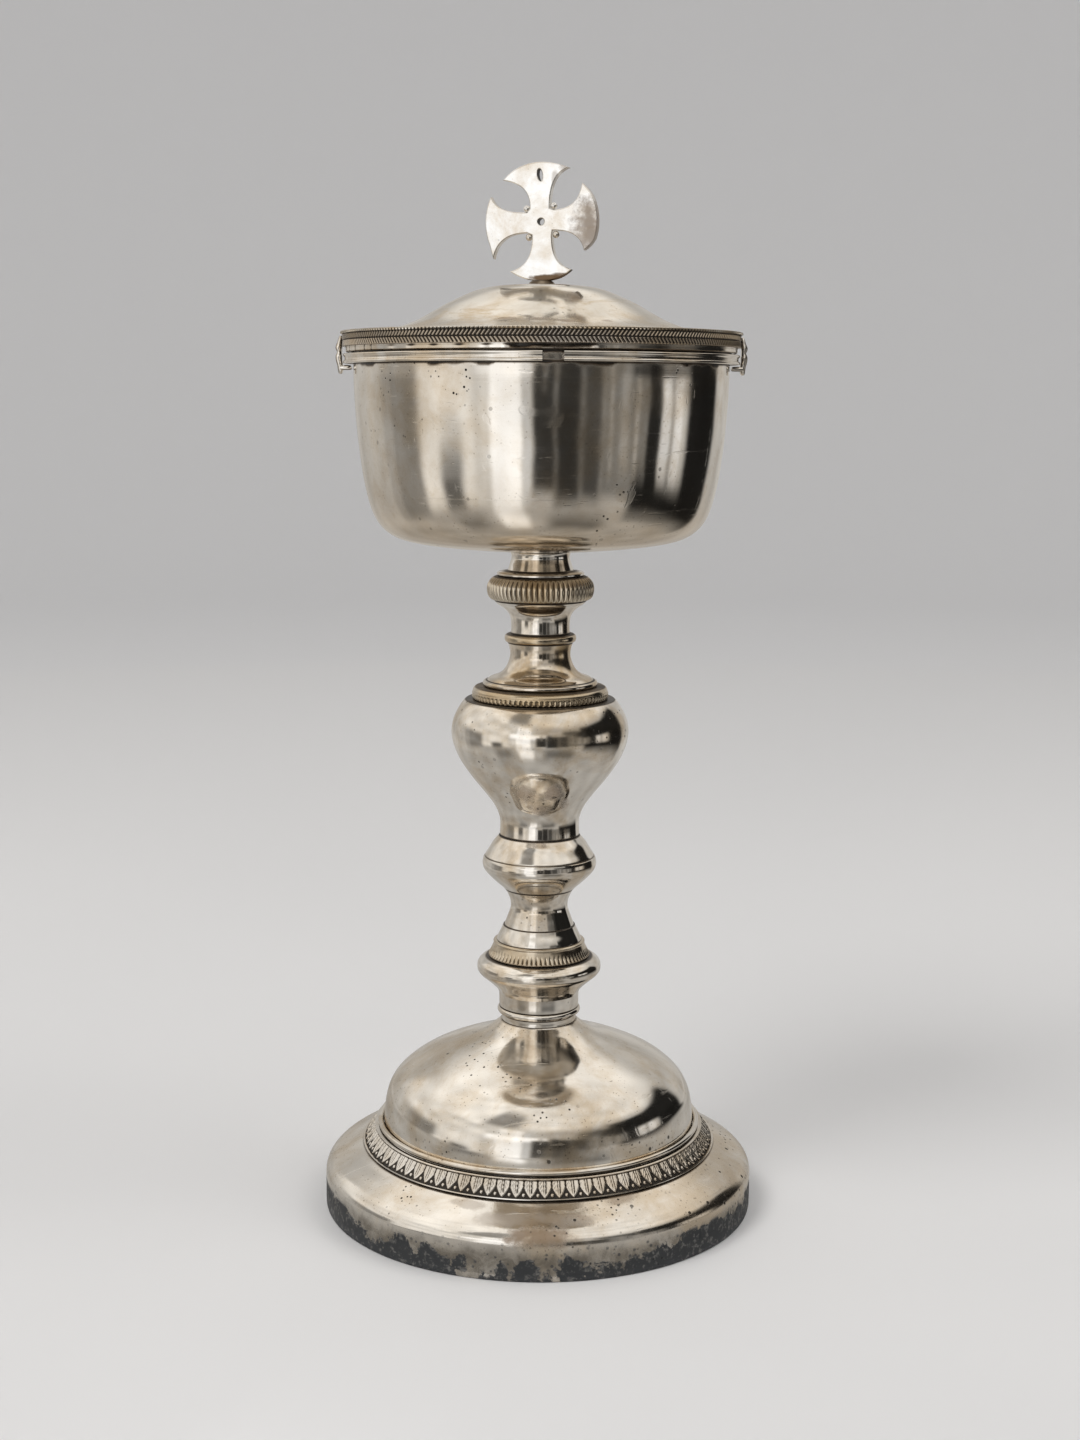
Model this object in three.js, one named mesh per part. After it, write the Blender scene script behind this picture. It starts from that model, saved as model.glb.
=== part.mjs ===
// A silver chalice with a fitted lid and a cross, in millimetres.
// +Z is up, the foot rests on z = 0 and the axis of the cup is the Z axis. The front faces -Y.
import * as THREE from "three";

// Sheet, walls and the play between pieces
const FOOT_SHEET = 1.0;
const BOWL_SHEET = 1.0;
const KNOP_SHEET = 1.0;
const LID_SHEET = 0.8;
const STEM_WALL = 1.3;
const SEAT_GAP = 0.3;
const SOLDER_GAP = 0.15;
const THREAD_PLAY = 0.3;

// Foot
const FOOT_RADIUS = 55;
const EDGE_BAND_HEIGHT = 7;
const EDGE_BAND_WALL = 1.4;
const APRON_RISE = 9.4;
const APRON_EDGE_HEIGHT = 0.8;
const APRON_ROUND_HEIGHT = 3.2;
const APRON_SHOULDER_HEIGHT = 5.1;
const APRON_SHOULDER_INSET = 2.6;
const LEAF_FOOT_RADIUS = 45.4;
const LEAF_BAND_INSET = 3.2;
const LEAF_BAND_RISE = 4.2;
const LEAF_BAND_WALL = 1.1;
const FOOT_WIRE_RADIUS = 0.7;
const DOME_INSET = 2.3;
const DOME_RISE = 22;
const DOME_LEDGE = 1.9;
const DOME_CROWN_RADIUS = 29.5;
const DOME_FLARE_RADIUS = 17.5;
const DOME_FLARE_RISE = 5;
const DOME_FLARE_EASE = 1;

// Stem, from the foot dome up to the bowl
const NECK_RADIUS = 9.6;
const NECK_TOP_RADIUS = 10.2;
const NECK_RING_RADIUS = 10.6;
const NECK_RING_WIDTH = 1.8;
const NECK_RING_RISE = 2.8;
const NECK_HEIGHT = 7.2;
const RING_KNOP_RADIUS = 15.8;
const RING_KNOP_HEIGHT = 9.6;
const RING_KNOP_FLARE = 1;
const MILLED_BAND_RADIUS = 13;
const MILLED_BAND_INSET = 1.1;
const MILLED_BAND_HEIGHT = 1.9;
const BALUSTER_FOOT_RADIUS = 11.6;
const BALUSTER_WAIST_RADIUS = 7.2;
const BALUSTER_TOP_RADIUS = 8.9;
const BALUSTER_BEAD_HEIGHT = 2.2;
const BALUSTER_BEAD_SWELL = 0.5;
const BALUSTER_BEAD_STEP = 0.8;
const BALUSTER_HEIGHT = 15.7;
const SMALL_KNOP_RADIUS = 14.4;
const SMALL_KNOP_HEIGHT = 14;
const MAIN_KNOP_FOOT_RADIUS = 10.1;
const MAIN_KNOP_RADIUS = 22.3;
const MAIN_KNOP_TOP_RADIUS = 18.6;
const MAIN_KNOP_HEIGHT = 34.8;
const KNOP_RING_RADIUS = 17.1;
const KNOP_RING_WIDTH = 5;
const KNOP_RING_HEIGHT = 3.2;
const KNOP_RING_ROUND = 1.4;
const CAP_RADIUS = 14.4;
const CAP_STEP_HEIGHT = 1.3;
const CAP_STEP_WIDTH = 1.4;
const CAP_WAIST_RADIUS = 7.6;
const CAP_TOP_RADIUS = 8.2;
const CAP_HEIGHT = 11;
const UPPER_RING_RADIUS = 9;
const UPPER_RING_HEIGHT = 2.2;
const UPPER_RING_ROUND = 0.6;
const SPOOL_RADIUS = 7.4;
const SPOOL_TOP_RADIUS = 11.6;
const SPOOL_FLARE_EASE = 0.6;
const SPOOL_HEIGHT = 8.4;
const COLLAR_RADIUS = 13.4;
const COLLAR_HEIGHT = 6.1;
const SOCKET_DISC_RADIUS = 10.9;
const SOCKET_DISC_HEIGHT = 1;
const SOCKET_DISC_SLOPE = 0.4;
const SOCKET_FOOT_RADIUS = 8.2;
const SOCKET_RADIUS = 7.9;
const SOCKET_HOLLOW = 1.3;
const SOCKET_HEIGHT = 6.3;

// Bowl and the ring that the lid locks under
const BOWL_FLOOR_RADIUS = 30;
const BOWL_FLOOR_RISE = 2;
const BOWL_CORNER_INSET = 3.8;
const BOWL_CORNER_RISE = 10.5;
const BOWL_RADIUS = 46;
const BOWL_LIP_WALL_HEIGHT = 10;
const BOWL_HEIGHT = 51.5;
const RING_WIDTH = 2.35;
const RING_HEIGHT = 2.4;
const RING_LOWER_EDGE = 0.7;
const RING_UPPER_EDGE = 0.5;
const RING_GROOVE_DEPTH = 0.4;
const RING_GROOVE_SLOPE = 0.2;
const RING_BELOW_LIP = 3.7;
const RING_GAP_WIDTH = 4.9;
const RING_GAP_ANGLE = -86.9;

// Tie rod that clamps foot, stem and bowl
const ROD_RADIUS = 2.5;
const ROD_END_BELOW_NUT = 3;
const TIE_NUT_RADIUS = 5.2;
const TIE_NUT_HEIGHT = 5;
const TIE_WASHER_RADIUS = 13;
const TIE_WASHER_THICKNESS = 1.4;
const BOSS_WALL = 1.6;
const BOSS_HEIGHT = 4;

// Lid
const LID_PLAY = 0.5;
const LIFT_PLAY = 0.3;
const LID_BAND_WALL = 1.3;
const LID_BAND_HEIGHT = 4.4;
const BORDER_HEIGHT = 3.1;
const BORDER_WALL = 0.7;
const BRIM_OVERHANG = 0.45;
const BRIM_WIDTH = 10.6;
const LID_DOME_RISE = 11.2;

// Lugs that hook under the ring
const LUG_WIDTH = 4.2;
const LUG_WALL = 0.9;
const LUG_BULGE = 0.9;
const LUG_TAIL_DROP = 1.1;
const LUG_TAB_HEIGHT = 1.15;
const LUG_TAB_PLAY = 0.4;

// Cross and what holds it
const CROSS_RADIUS = 14.1;
const CROSS_ARM_END = 16.2;
const CROSS_WAIST = 4.7;
const CROSS_THICKNESS = 2.4;
const CROSS_TILT = 5;
const CROSS_YAW = 16;
const CROSS_HOLE_RADIUS = 0.85;
const CROSS_SLOT_HEIGHT = 10.6;
const CROSS_SLOT_LENGTH = 3;
const CROSS_SLOT_WIDTH = 1.2;
const CROSS_BEAD_RADIUS = 0.75;
const SEAT_RADIUS = 3.2;
const SEAT_HEIGHT = 0.6;
const SEAT_SLOPE = 0.6;
const SCREW_RADIUS = 1.5;
const SCREW_END_BELOW_NUT = 0.8;
const FINIAL_WASHER_RADIUS = 6;
const FINIAL_WASHER_THICKNESS = 0.8;
const FINIAL_NUT_RADIUS = 3.6;
const FINIAL_NUT_HEIGHT = 2.6;

// Roundness of the turned pieces
const WIDE_SIDES = 40;
const STEM_SIDES = 24;
const SMALL_SIDES = 12;
const NUT_SIDES = 6;
const WIRE_SIDES = 6;

// Metals
const POLISHED = { color: 0xcfc8b8, roughness: 0.18, metalness: 1 };
const TARNISHED = { color: 0xa79c84, roughness: 0.35, metalness: 1 };
const WORN_EDGE = { color: 0x8f8a80, roughness: 0.45, metalness: 1 };
const YELLOWED = { color: 0xc9b48a, roughness: 0.3, metalness: 1 };
const STEEL = { color: 0x9a9a98, roughness: 0.4, metalness: 1 };

const { degToRad, lerp, mapLinear } = THREE.MathUtils;
const point = (radius, height) => new THREE.Vector2(radius, height);

// A line drawn by a pen that starts at a radius and a height
function draw(radius, height, steps, strokes) {
  const pen = new THREE.Path();
  pen.moveTo(radius, height);
  strokes(pen);
  return pen.getPoints(steps);
}

// The same line moved to its left by a sheet's thickness, with mitred corners.
// Its two ends are cut level where the sheet stands and upright where it lies.
function offset(line, thickness) {
  const last = line.length - 1;
  return line.map((here, i) => {
    const arriving = here.clone().sub(line[Math.max(i - 1, 0)]).normalize();
    const leaving = line[Math.min(i + 1, last)].clone().sub(here).normalize();
    const along = arriving.clone().add(leaving).normalize();
    if (i > 0 && i < last) {
      const reach = thickness / along.dot(arriving);
      return point(here.x - along.y * reach, here.y + along.x * reach);
    }
    const stands = Math.abs(along.y) > Math.abs(along.x);
    if (stands) return point(here.x - Math.sign(along.y) * thickness, here.y);
    return point(here.x, here.y + Math.sign(along.x) * thickness);
  });
}

// The corners of a regular polygon round a centre
function polygon(centre, radius, sides) {
  return Array.from({ length: sides }, (_, side) =>
    point(centre.x + radius, centre.y).rotateAround(centre, (side * 2 * Math.PI) / sides),
  );
}

// The height of a line at a radius
function heightAt(line, radius) {
  const next = line.findIndex((p, i) => i > 0 && (p.x - radius) * (line[i - 1].x - radius) <= 0);
  return mapLinear(radius, line[next - 1].x, line[next].x, line[next - 1].y, line[next].y);
}

// A solid of revolution about Z, from a closed outline that runs counterclockwise.
// An outline that lies on the axis starts and ends there, and any other one is closed.
function turn(points, sides) {
  const loop = THREE.ShapeUtils.area(points) > 0 ? [...points] : [...points].reverse();
  if (loop[0].x > 0) loop.push(loop[0].clone());
  return new THREE.LatheGeometry(loop, sides).rotateX(Math.PI / 2);
}

// A raised sheet: its outer line, and its inner line a wall to the left
function sheet(line, wall, sides) {
  return turn([...line, ...offset(line, wall).reverse()], sides);
}

// A turned piece with a straight bore
function bored(line, bore, sides) {
  return turn([point(bore, line[0].y), ...line, point(bore, line.at(-1).y)], sides);
}

// A stem piece, bored out to leave the stem's wall at its narrowest place
function stemPiece(line) {
  return bored(line, Math.min(...line.map((p) => p.x)) - STEM_WALL, STEM_SIDES);
}

function ring(inner, outer, bottom, height, sides) {
  return bored([point(outer, bottom), point(outer, bottom + height)], inner, sides);
}

function rod(radius, bottom, top, sides) {
  return turn([point(0, bottom), point(radius, bottom), point(radius, top), point(0, top)], sides);
}

const chalice = new THREE.Group();

function place(name, geometry, metal, parent = chalice) {
  const mesh = new THREE.Mesh(geometry, new THREE.MeshStandardMaterial(metal));
  mesh.name = name;
  parent.add(mesh);
}

// Foot: edge band, apron with its riser and ledge, leaf band, wire and dome
const leafFoot = EDGE_BAND_HEIGHT + APRON_RISE;
const leafTopRadius = LEAF_FOOT_RADIUS - LEAF_BAND_INSET;
const domeRadius = leafTopRadius - DOME_INSET;
const ledge = leafFoot + LEAF_BAND_RISE;
const domeTop = ledge + DOME_RISE + DOME_FLARE_RISE;

place(
  "foot_edge_band",
  ring(FOOT_RADIUS - EDGE_BAND_WALL, FOOT_RADIUS, 0, EDGE_BAND_HEIGHT, WIDE_SIDES),
  WORN_EDGE,
);

const apronLine = draw(FOOT_RADIUS, EDGE_BAND_HEIGHT, 3, (pen) => {
  const riserInset = LEAF_BAND_WALL + SEAT_GAP;
  pen.lineTo(FOOT_RADIUS, EDGE_BAND_HEIGHT + APRON_EDGE_HEIGHT);
  pen.quadraticCurveTo(
    FOOT_RADIUS, EDGE_BAND_HEIGHT + APRON_ROUND_HEIGHT,
    FOOT_RADIUS - APRON_SHOULDER_INSET, EDGE_BAND_HEIGHT + APRON_SHOULDER_HEIGHT,
  );
  pen.lineTo(LEAF_FOOT_RADIUS - riserInset, leafFoot);
  pen.lineTo(leafTopRadius - riserInset, ledge);
  pen.lineTo(domeRadius - DOME_LEDGE, ledge);
});
place("foot_apron", sheet(apronLine, FOOT_SHEET, WIDE_SIDES), POLISHED);

const leafBandLine = [
  point(LEAF_FOOT_RADIUS, leafFoot),
  point(leafTopRadius, ledge),
  point(leafTopRadius - LEAF_BAND_WALL, ledge),
  point(LEAF_FOOT_RADIUS - LEAF_BAND_WALL, leafFoot),
];
place("leaf_band", turn(leafBandLine, WIDE_SIDES), TARNISHED);

const wireCentre = point(domeRadius + SOLDER_GAP + FOOT_WIRE_RADIUS, ledge + FOOT_WIRE_RADIUS);
place("foot_wire", turn(polygon(wireCentre, FOOT_WIRE_RADIUS, WIRE_SIDES), WIDE_SIDES), TARNISHED);

const domeLine = draw(domeRadius, ledge, 5, (pen) => {
  const flareFoot = ledge + DOME_RISE;
  const sideTop = lerp(ledge, flareFoot, 0.6);
  const crownFoot = lerp(ledge, flareFoot, 0.89);
  const flareBend = lerp(flareFoot, domeTop, 0.4);
  pen.bezierCurveTo(domeRadius, sideTop, DOME_CROWN_RADIUS, crownFoot, DOME_FLARE_RADIUS, flareFoot);
  pen.quadraticCurveTo(NECK_RADIUS + DOME_FLARE_EASE, flareBend, NECK_RADIUS, domeTop);
});
place("foot_dome", sheet(domeLine, FOOT_SHEET, WIDE_SIDES), POLISHED);

// Stem: each piece stands on the one below
const neckTop = domeTop + NECK_HEIGHT;
const neckLine = draw(NECK_RADIUS, domeTop, 4, (pen) => {
  const ringHeight = domeTop + NECK_RING_RISE;
  const ringFoot = ringHeight - NECK_RING_WIDTH / 2;
  const ringHead = ringHeight + NECK_RING_WIDTH / 2;
  const straightTo = lerp(ringHeight, neckTop, 0.6);
  pen.lineTo(NECK_RADIUS, ringFoot);
  pen.quadraticCurveTo(2 * NECK_RING_RADIUS - NECK_RADIUS, ringHeight, NECK_RADIUS, ringHead);
  pen.quadraticCurveTo(NECK_RADIUS, straightTo, NECK_TOP_RADIUS, neckTop);
});
place("foot_neck", stemPiece(neckLine), POLISHED);

const ringKnopTop = neckTop + RING_KNOP_HEIGHT;
const ringKnopLine = draw(NECK_TOP_RADIUS, neckTop, 4, (pen) => {
  const rimFoot = lerp(neckTop, ringKnopTop, 0.6);
  const hollow = lerp(neckTop, ringKnopTop, 0.18);
  const rimBulge = lerp(neckTop, ringKnopTop, 0.78);
  const rimFootRadius = RING_KNOP_RADIUS * 0.97;
  const rimBulgeRadius = RING_KNOP_RADIUS * 1.075;
  pen.quadraticCurveTo(NECK_TOP_RADIUS + RING_KNOP_FLARE, hollow, rimFootRadius, rimFoot);
  pen.quadraticCurveTo(rimBulgeRadius, rimBulge, MILLED_BAND_RADIUS + SEAT_GAP, ringKnopTop);
});
place("lower_ring_knop", stemPiece(ringKnopLine), POLISHED);

const milledBandTop = ringKnopTop + MILLED_BAND_HEIGHT;
const milledBandLine = [
  point(MILLED_BAND_RADIUS, ringKnopTop),
  point(MILLED_BAND_RADIUS - MILLED_BAND_INSET, milledBandTop),
];
place(
  "lower_milled_band",
  bored(milledBandLine, BALUSTER_WAIST_RADIUS, STEM_SIDES),
  TARNISHED,
);

const balusterTop = milledBandTop + BALUSTER_HEIGHT;
const balusterLine = draw(BALUSTER_FOOT_RADIUS, milledBandTop, 4, (pen) => {
  const beadTop = milledBandTop + BALUSTER_BEAD_HEIGHT;
  const beadSwell = BALUSTER_FOOT_RADIUS + BALUSTER_BEAD_SWELL;
  const coneFoot = BALUSTER_FOOT_RADIUS - BALUSTER_BEAD_STEP;
  const waist = lerp(beadTop, balusterTop, 0.64);
  const coneMiddle = lerp(beadTop, waist, 0.4);
  const coneMiddleRadius = lerp(BALUSTER_WAIST_RADIUS, coneFoot, 0.6);
  const waistFoot = lerp(beadTop, waist, 0.8);
  const waistHead = lerp(waist, balusterTop, 0.5);
  pen.quadraticCurveTo(beadSwell, beadTop, coneFoot, beadTop);
  pen.bezierCurveTo(
    coneMiddleRadius, coneMiddle,
    BALUSTER_WAIST_RADIUS, waistFoot,
    BALUSTER_WAIST_RADIUS, waist,
  );
  pen.quadraticCurveTo(BALUSTER_WAIST_RADIUS, waistHead, BALUSTER_TOP_RADIUS, balusterTop);
});
place("lower_baluster", stemPiece(balusterLine), POLISHED);

const smallKnopTop = balusterTop + SMALL_KNOP_HEIGHT;
const smallKnopLine = draw(BALUSTER_TOP_RADIUS, balusterTop, 3, (pen) => {
  const at = (share) => lerp(balusterTop, smallKnopTop, share);
  const undersideRadius = SMALL_KNOP_RADIUS * 0.96;
  const shoulderRadius = SMALL_KNOP_RADIUS * 0.92;
  pen.quadraticCurveTo(undersideRadius, at(0.23), SMALL_KNOP_RADIUS, at(0.46));
  pen.quadraticCurveTo(SMALL_KNOP_RADIUS, at(0.59), shoulderRadius, at(0.68));
  pen.quadraticCurveTo(MAIN_KNOP_FOOT_RADIUS, at(0.86), MAIN_KNOP_FOOT_RADIUS, smallKnopTop);
});
place("small_knop", stemPiece(smallKnopLine), POLISHED);

const mainKnopTop = smallKnopTop + MAIN_KNOP_HEIGHT;
const capBore = CAP_WAIST_RADIUS - STEM_WALL;
const mainKnopLine = draw(MAIN_KNOP_FOOT_RADIUS, smallKnopTop, 5, (pen) => {
  const at = (share) => lerp(smallKnopTop, mainKnopTop, share);
  pen.bezierCurveTo(
    MAIN_KNOP_FOOT_RADIUS, at(0.4),
    MAIN_KNOP_RADIUS, at(0.48),
    MAIN_KNOP_RADIUS, at(0.76),
  );
  pen.quadraticCurveTo(MAIN_KNOP_RADIUS, at(0.9), MAIN_KNOP_TOP_RADIUS, mainKnopTop);
  pen.lineTo(KNOP_RING_RADIUS - KNOP_RING_WIDTH, mainKnopTop);
});
place("main_knop", sheet(mainKnopLine, KNOP_SHEET, STEM_SIDES), POLISHED);

const knopRingTop = mainKnopTop + KNOP_RING_HEIGHT;
const knopRingLine = draw(KNOP_RING_RADIUS, mainKnopTop, 3, (pen) => {
  pen.lineTo(KNOP_RING_RADIUS, lerp(mainKnopTop, knopRingTop, 0.5));
  pen.quadraticCurveTo(KNOP_RING_RADIUS, knopRingTop, KNOP_RING_RADIUS - KNOP_RING_ROUND, knopRingTop);
});
place("knop_milled_ring", bored(knopRingLine, KNOP_RING_RADIUS - KNOP_RING_WIDTH, STEM_SIDES), TARNISHED);

const capTop = knopRingTop + CAP_HEIGHT;
const capLine = draw(CAP_RADIUS, knopRingTop, 4, (pen) => {
  const at = (share) => lerp(knopRingTop, capTop, share);
  pen.lineTo(CAP_RADIUS, knopRingTop + CAP_STEP_HEIGHT);
  pen.lineTo(CAP_RADIUS - CAP_STEP_WIDTH, at(0.2));
  pen.quadraticCurveTo(CAP_WAIST_RADIUS, at(0.32), CAP_WAIST_RADIUS, at(0.7));
  pen.quadraticCurveTo(CAP_WAIST_RADIUS, at(0.85), CAP_TOP_RADIUS, capTop);
});
place("knop_cap", bored(capLine, capBore, STEM_SIDES), POLISHED);

const upperRingTop = capTop + UPPER_RING_HEIGHT;
const upperRingLine = draw(UPPER_RING_RADIUS - UPPER_RING_ROUND, capTop, 4, (pen) => {
  const middle = lerp(capTop, upperRingTop, 0.5);
  pen.quadraticCurveTo(
    UPPER_RING_RADIUS + UPPER_RING_ROUND, middle,
    UPPER_RING_RADIUS - UPPER_RING_ROUND, upperRingTop,
  );
});
place("upper_ring", bored(upperRingLine, capBore, STEM_SIDES), TARNISHED);

const spoolTop = upperRingTop + SPOOL_HEIGHT;
const spoolLine = draw(SPOOL_RADIUS, upperRingTop, 4, (pen) => {
  const at = (share) => lerp(upperRingTop, spoolTop, share);
  pen.lineTo(SPOOL_RADIUS, at(0.5));
  pen.quadraticCurveTo(SPOOL_RADIUS + SPOOL_FLARE_EASE, at(0.9), SPOOL_TOP_RADIUS, spoolTop);
});
place("upper_spool", stemPiece(spoolLine), POLISHED);

const collarTop = spoolTop + COLLAR_HEIGHT;
const collarLine = draw(SPOOL_TOP_RADIUS + SEAT_GAP, spoolTop, 4, (pen) => {
  const at = (share) => lerp(spoolTop, collarTop, share);
  pen.quadraticCurveTo(COLLAR_RADIUS, spoolTop, COLLAR_RADIUS, at(0.52));
  pen.quadraticCurveTo(COLLAR_RADIUS, at(0.9), SOCKET_DISC_RADIUS + SEAT_GAP, collarTop);
});
place("fluted_collar", bored(collarLine, SOCKET_RADIUS - STEM_WALL, STEM_SIDES), TARNISHED);

const bowlBottom = collarTop + SOCKET_HEIGHT;
const socketLine = draw(SOCKET_DISC_RADIUS, collarTop, 4, (pen) => {
  const discTop = collarTop + SOCKET_DISC_HEIGHT;
  const waist = lerp(discTop, bowlBottom, 0.6);
  pen.lineTo(SOCKET_DISC_RADIUS, discTop);
  pen.lineTo(SOCKET_FOOT_RADIUS, discTop + SOCKET_DISC_SLOPE);
  pen.quadraticCurveTo(SOCKET_RADIUS - SOCKET_HOLLOW, waist, SOCKET_RADIUS, bowlBottom);
});
place("bowl_socket", stemPiece(socketLine), POLISHED);

// Bowl: a nearly flat floor, a round corner and a wall that opens a little up to the lip
const bowlLip = bowlBottom + BOWL_HEIGHT;
const bowlLine = draw(0, bowlBottom, 4, (pen) => {
  const floorEdge = bowlBottom + BOWL_FLOOR_RISE;
  const wallFoot = bowlBottom + BOWL_CORNER_RISE;
  const wallTop = bowlLip - BOWL_LIP_WALL_HEIGHT;
  const floorMiddle = lerp(SOCKET_RADIUS, BOWL_FLOOR_RADIUS, 0.5);
  const cornerRadius = BOWL_RADIUS - BOWL_CORNER_INSET;
  const cornerBend = lerp(floorEdge, wallFoot, 0.15);
  const cornerBendRadius = lerp(BOWL_FLOOR_RADIUS, cornerRadius, 0.8);
  pen.lineTo(SOCKET_RADIUS + SEAT_GAP, bowlBottom);
  pen.quadraticCurveTo(floorMiddle, bowlBottom, BOWL_FLOOR_RADIUS, floorEdge);
  pen.quadraticCurveTo(cornerBendRadius, cornerBend, cornerRadius, wallFoot);
  pen.quadraticCurveTo(BOWL_RADIUS, lerp(wallFoot, wallTop, 0.5), BOWL_RADIUS, wallTop);
  pen.lineTo(BOWL_RADIUS, bowlLip);
});
place("bowl", sheet(bowlLine, BOWL_SHEET, WIDE_SIDES), POLISHED);

// Strap ring on the bowl, in two halves with a gap at the front and at the back
const ringTop = bowlLip - RING_BELOW_LIP;
const ringBottom = ringTop - RING_HEIGHT;
const ringInner = BOWL_RADIUS + SOLDER_GAP;
const ringOuter = ringInner + RING_WIDTH;

// A closed section swept round the axis between two angles, with flat ends
function sweep(section, from, to, steps) {
  const positions = [];
  const faces = [];
  const count = section.length;
  for (let step = 0; step <= steps; step++) {
    const angle = lerp(from, to, step / steps);
    section.forEach((p) => positions.push(p.x * Math.cos(angle), p.x * Math.sin(angle), p.y));
  }
  for (let step = 0; step < steps; step++) {
    for (let side = 0; side < count; side++) {
      const a = step * count + side;
      const b = step * count + ((side + 1) % count);
      faces.push(a, a + count, b, b, a + count, b + count);
    }
  }
  for (const [i, j, k] of THREE.ShapeUtils.triangulateShape(section, [])) {
    const end = steps * count;
    faces.push(i, j, k, end + i, end + k, end + j);
  }
  const geometry = new THREE.BufferGeometry();
  geometry.setAttribute("position", new THREE.Float32BufferAttribute(positions, 3));
  geometry.setIndex(faces);
  return geometry;
}

const grooveFloor = ringOuter - RING_GROOVE_DEPTH;
const ringSection = [
  point(ringInner, ringBottom),
  point(ringOuter, ringBottom),
  point(ringOuter, ringBottom + RING_LOWER_EDGE),
  point(grooveFloor, ringBottom + RING_LOWER_EDGE + RING_GROOVE_SLOPE),
  point(grooveFloor, ringTop - RING_UPPER_EDGE - RING_GROOVE_SLOPE),
  point(ringOuter, ringTop - RING_UPPER_EDGE),
  point(ringOuter, ringTop),
  point(ringInner, ringTop),
];
const gapAngle = degToRad(RING_GAP_ANGLE);
const halfGap = RING_GAP_WIDTH / 2 / ringOuter;
["catch_ring_right", "catch_ring_left"].forEach((name, side) => {
  const from = gapAngle + side * Math.PI + halfGap;
  const to = gapAngle + (side + 1) * Math.PI - halfGap;
  place(name, sweep(ringSection, from, to, WIDE_SIDES / 2), POLISHED);
});

// Tie rod, boss under the bowl, and the washer and nut inside the foot
const bossTop = bowlBottom - SEAT_GAP;
const bossBore = ROD_RADIUS + THREAD_PLAY;
const tieWasherTop = heightAt(offset(domeLine, FOOT_SHEET), TIE_WASHER_RADIUS) - SEAT_GAP;
const tieNutTop = tieWasherTop - TIE_WASHER_THICKNESS;
const tieNutBottom = tieNutTop - TIE_NUT_HEIGHT;
place(
  "bowl_boss",
  ring(bossBore, bossBore + BOSS_WALL, bossTop - BOSS_HEIGHT, BOSS_HEIGHT, SMALL_SIDES),
  STEEL,
);
place("tie_rod", rod(ROD_RADIUS, tieNutBottom - ROD_END_BELOW_NUT, bossTop, SMALL_SIDES), STEEL);
place("tie_washer", ring(bossBore, TIE_WASHER_RADIUS, tieNutTop, TIE_WASHER_THICKNESS, STEM_SIDES), STEEL);

const nutShape = new THREE.Shape(polygon(point(0, 0), TIE_NUT_RADIUS, NUT_SIDES));
nutShape.holes.push(new THREE.Path().absarc(0, 0, bossBore, 0, 2 * Math.PI));
const nut = new THREE.ExtrudeGeometry(nutShape, {
  depth: TIE_NUT_HEIGHT,
  bevelEnabled: false,
  curveSegments: 9,
});
nut.translate(0, 0, tieNutBottom);
place("tie_nut", nut, STEEL);

// Lid: upright band over the lip, brim and dome in one sheet, and the milled border
const bandInner = BOWL_RADIUS + LID_PLAY;
const bandOuter = bandInner + LID_BAND_WALL;
const bandBottom = ringTop + LIFT_PLAY;
const brimBottom = bandBottom + LID_BAND_HEIGHT;
const brimTop = brimBottom + LID_SHEET;
const lidTop = brimTop + LID_DOME_RISE;
const borderInner = bandOuter + SOLDER_GAP;
const borderOuter = borderInner + BORDER_WALL;
const brimRadius = borderOuter + BRIM_OVERHANG;
const lidDomeRadius = brimRadius - BRIM_WIDTH;
const screwBore = SCREW_RADIUS + THREAD_PLAY;

const lidLine = draw(brimRadius, brimTop, 6, (pen) => {
  const footBend = lidDomeRadius * 0.88;
  const crownRadius = lidDomeRadius * 0.5;
  pen.lineTo(lidDomeRadius, brimTop);
  pen.bezierCurveTo(footBend, lerp(brimTop, lidTop, 0.1), crownRadius, lidTop, SEAT_RADIUS, lidTop);
  pen.lineTo(screwBore, lidTop);
});
place("lid_dome", sheet(lidLine, LID_SHEET, WIDE_SIDES), POLISHED);
place("lid_band", ring(bandInner, bandOuter, bandBottom, LID_BAND_HEIGHT, WIDE_SIDES), POLISHED);
place(
  "lid_milled_border",
  ring(borderInner, borderOuter, brimBottom - BORDER_HEIGHT, BORDER_HEIGHT, WIDE_SIDES),
  TARNISHED,
);

// Lugs: a strap down over the ring, bulging outward, with a tab that reaches in under it
const lugInner = Math.max(borderOuter, ringOuter) + SEAT_GAP;
const lugShape = new THREE.Shape();
{
  const outer = lugInner + LUG_WALL;
  const top = brimBottom - SEAT_GAP;
  const tabTop = ringBottom - LIFT_PLAY;
  const tabBottom = tabTop - LUG_TAB_HEIGHT;
  const tail = tabBottom - LUG_TAIL_DROP;
  const middle = lerp(tabTop, top, 0.5);
  lugShape.moveTo(lugInner, top);
  lugShape.quadraticCurveTo(lugInner + LUG_BULGE, middle, lugInner, tabTop);
  lugShape.lineTo(BOWL_RADIUS + LUG_TAB_PLAY, tabTop);
  lugShape.lineTo(BOWL_RADIUS + LUG_TAB_PLAY, tabBottom);
  lugShape.lineTo(lugInner - LUG_WALL, tabBottom);
  lugShape.quadraticCurveTo(lugInner - LUG_WALL, tail, lugInner, tail);
  lugShape.quadraticCurveTo(outer, tail, outer, tabTop);
  lugShape.quadraticCurveTo(outer + LUG_BULGE, middle, outer, top);
}
["lug_right", "lug_left"].forEach((name, side) => {
  const lug = new THREE.ExtrudeGeometry(lugShape, {
    depth: LUG_WIDTH,
    bevelEnabled: false,
    curveSegments: 5,
  });
  lug.translate(0, 0, -LUG_WIDTH / 2);
  lug.rotateX(Math.PI / 2);
  lug.rotateZ(side * Math.PI);
  place(name, lug, TARNISHED);
});

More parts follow.
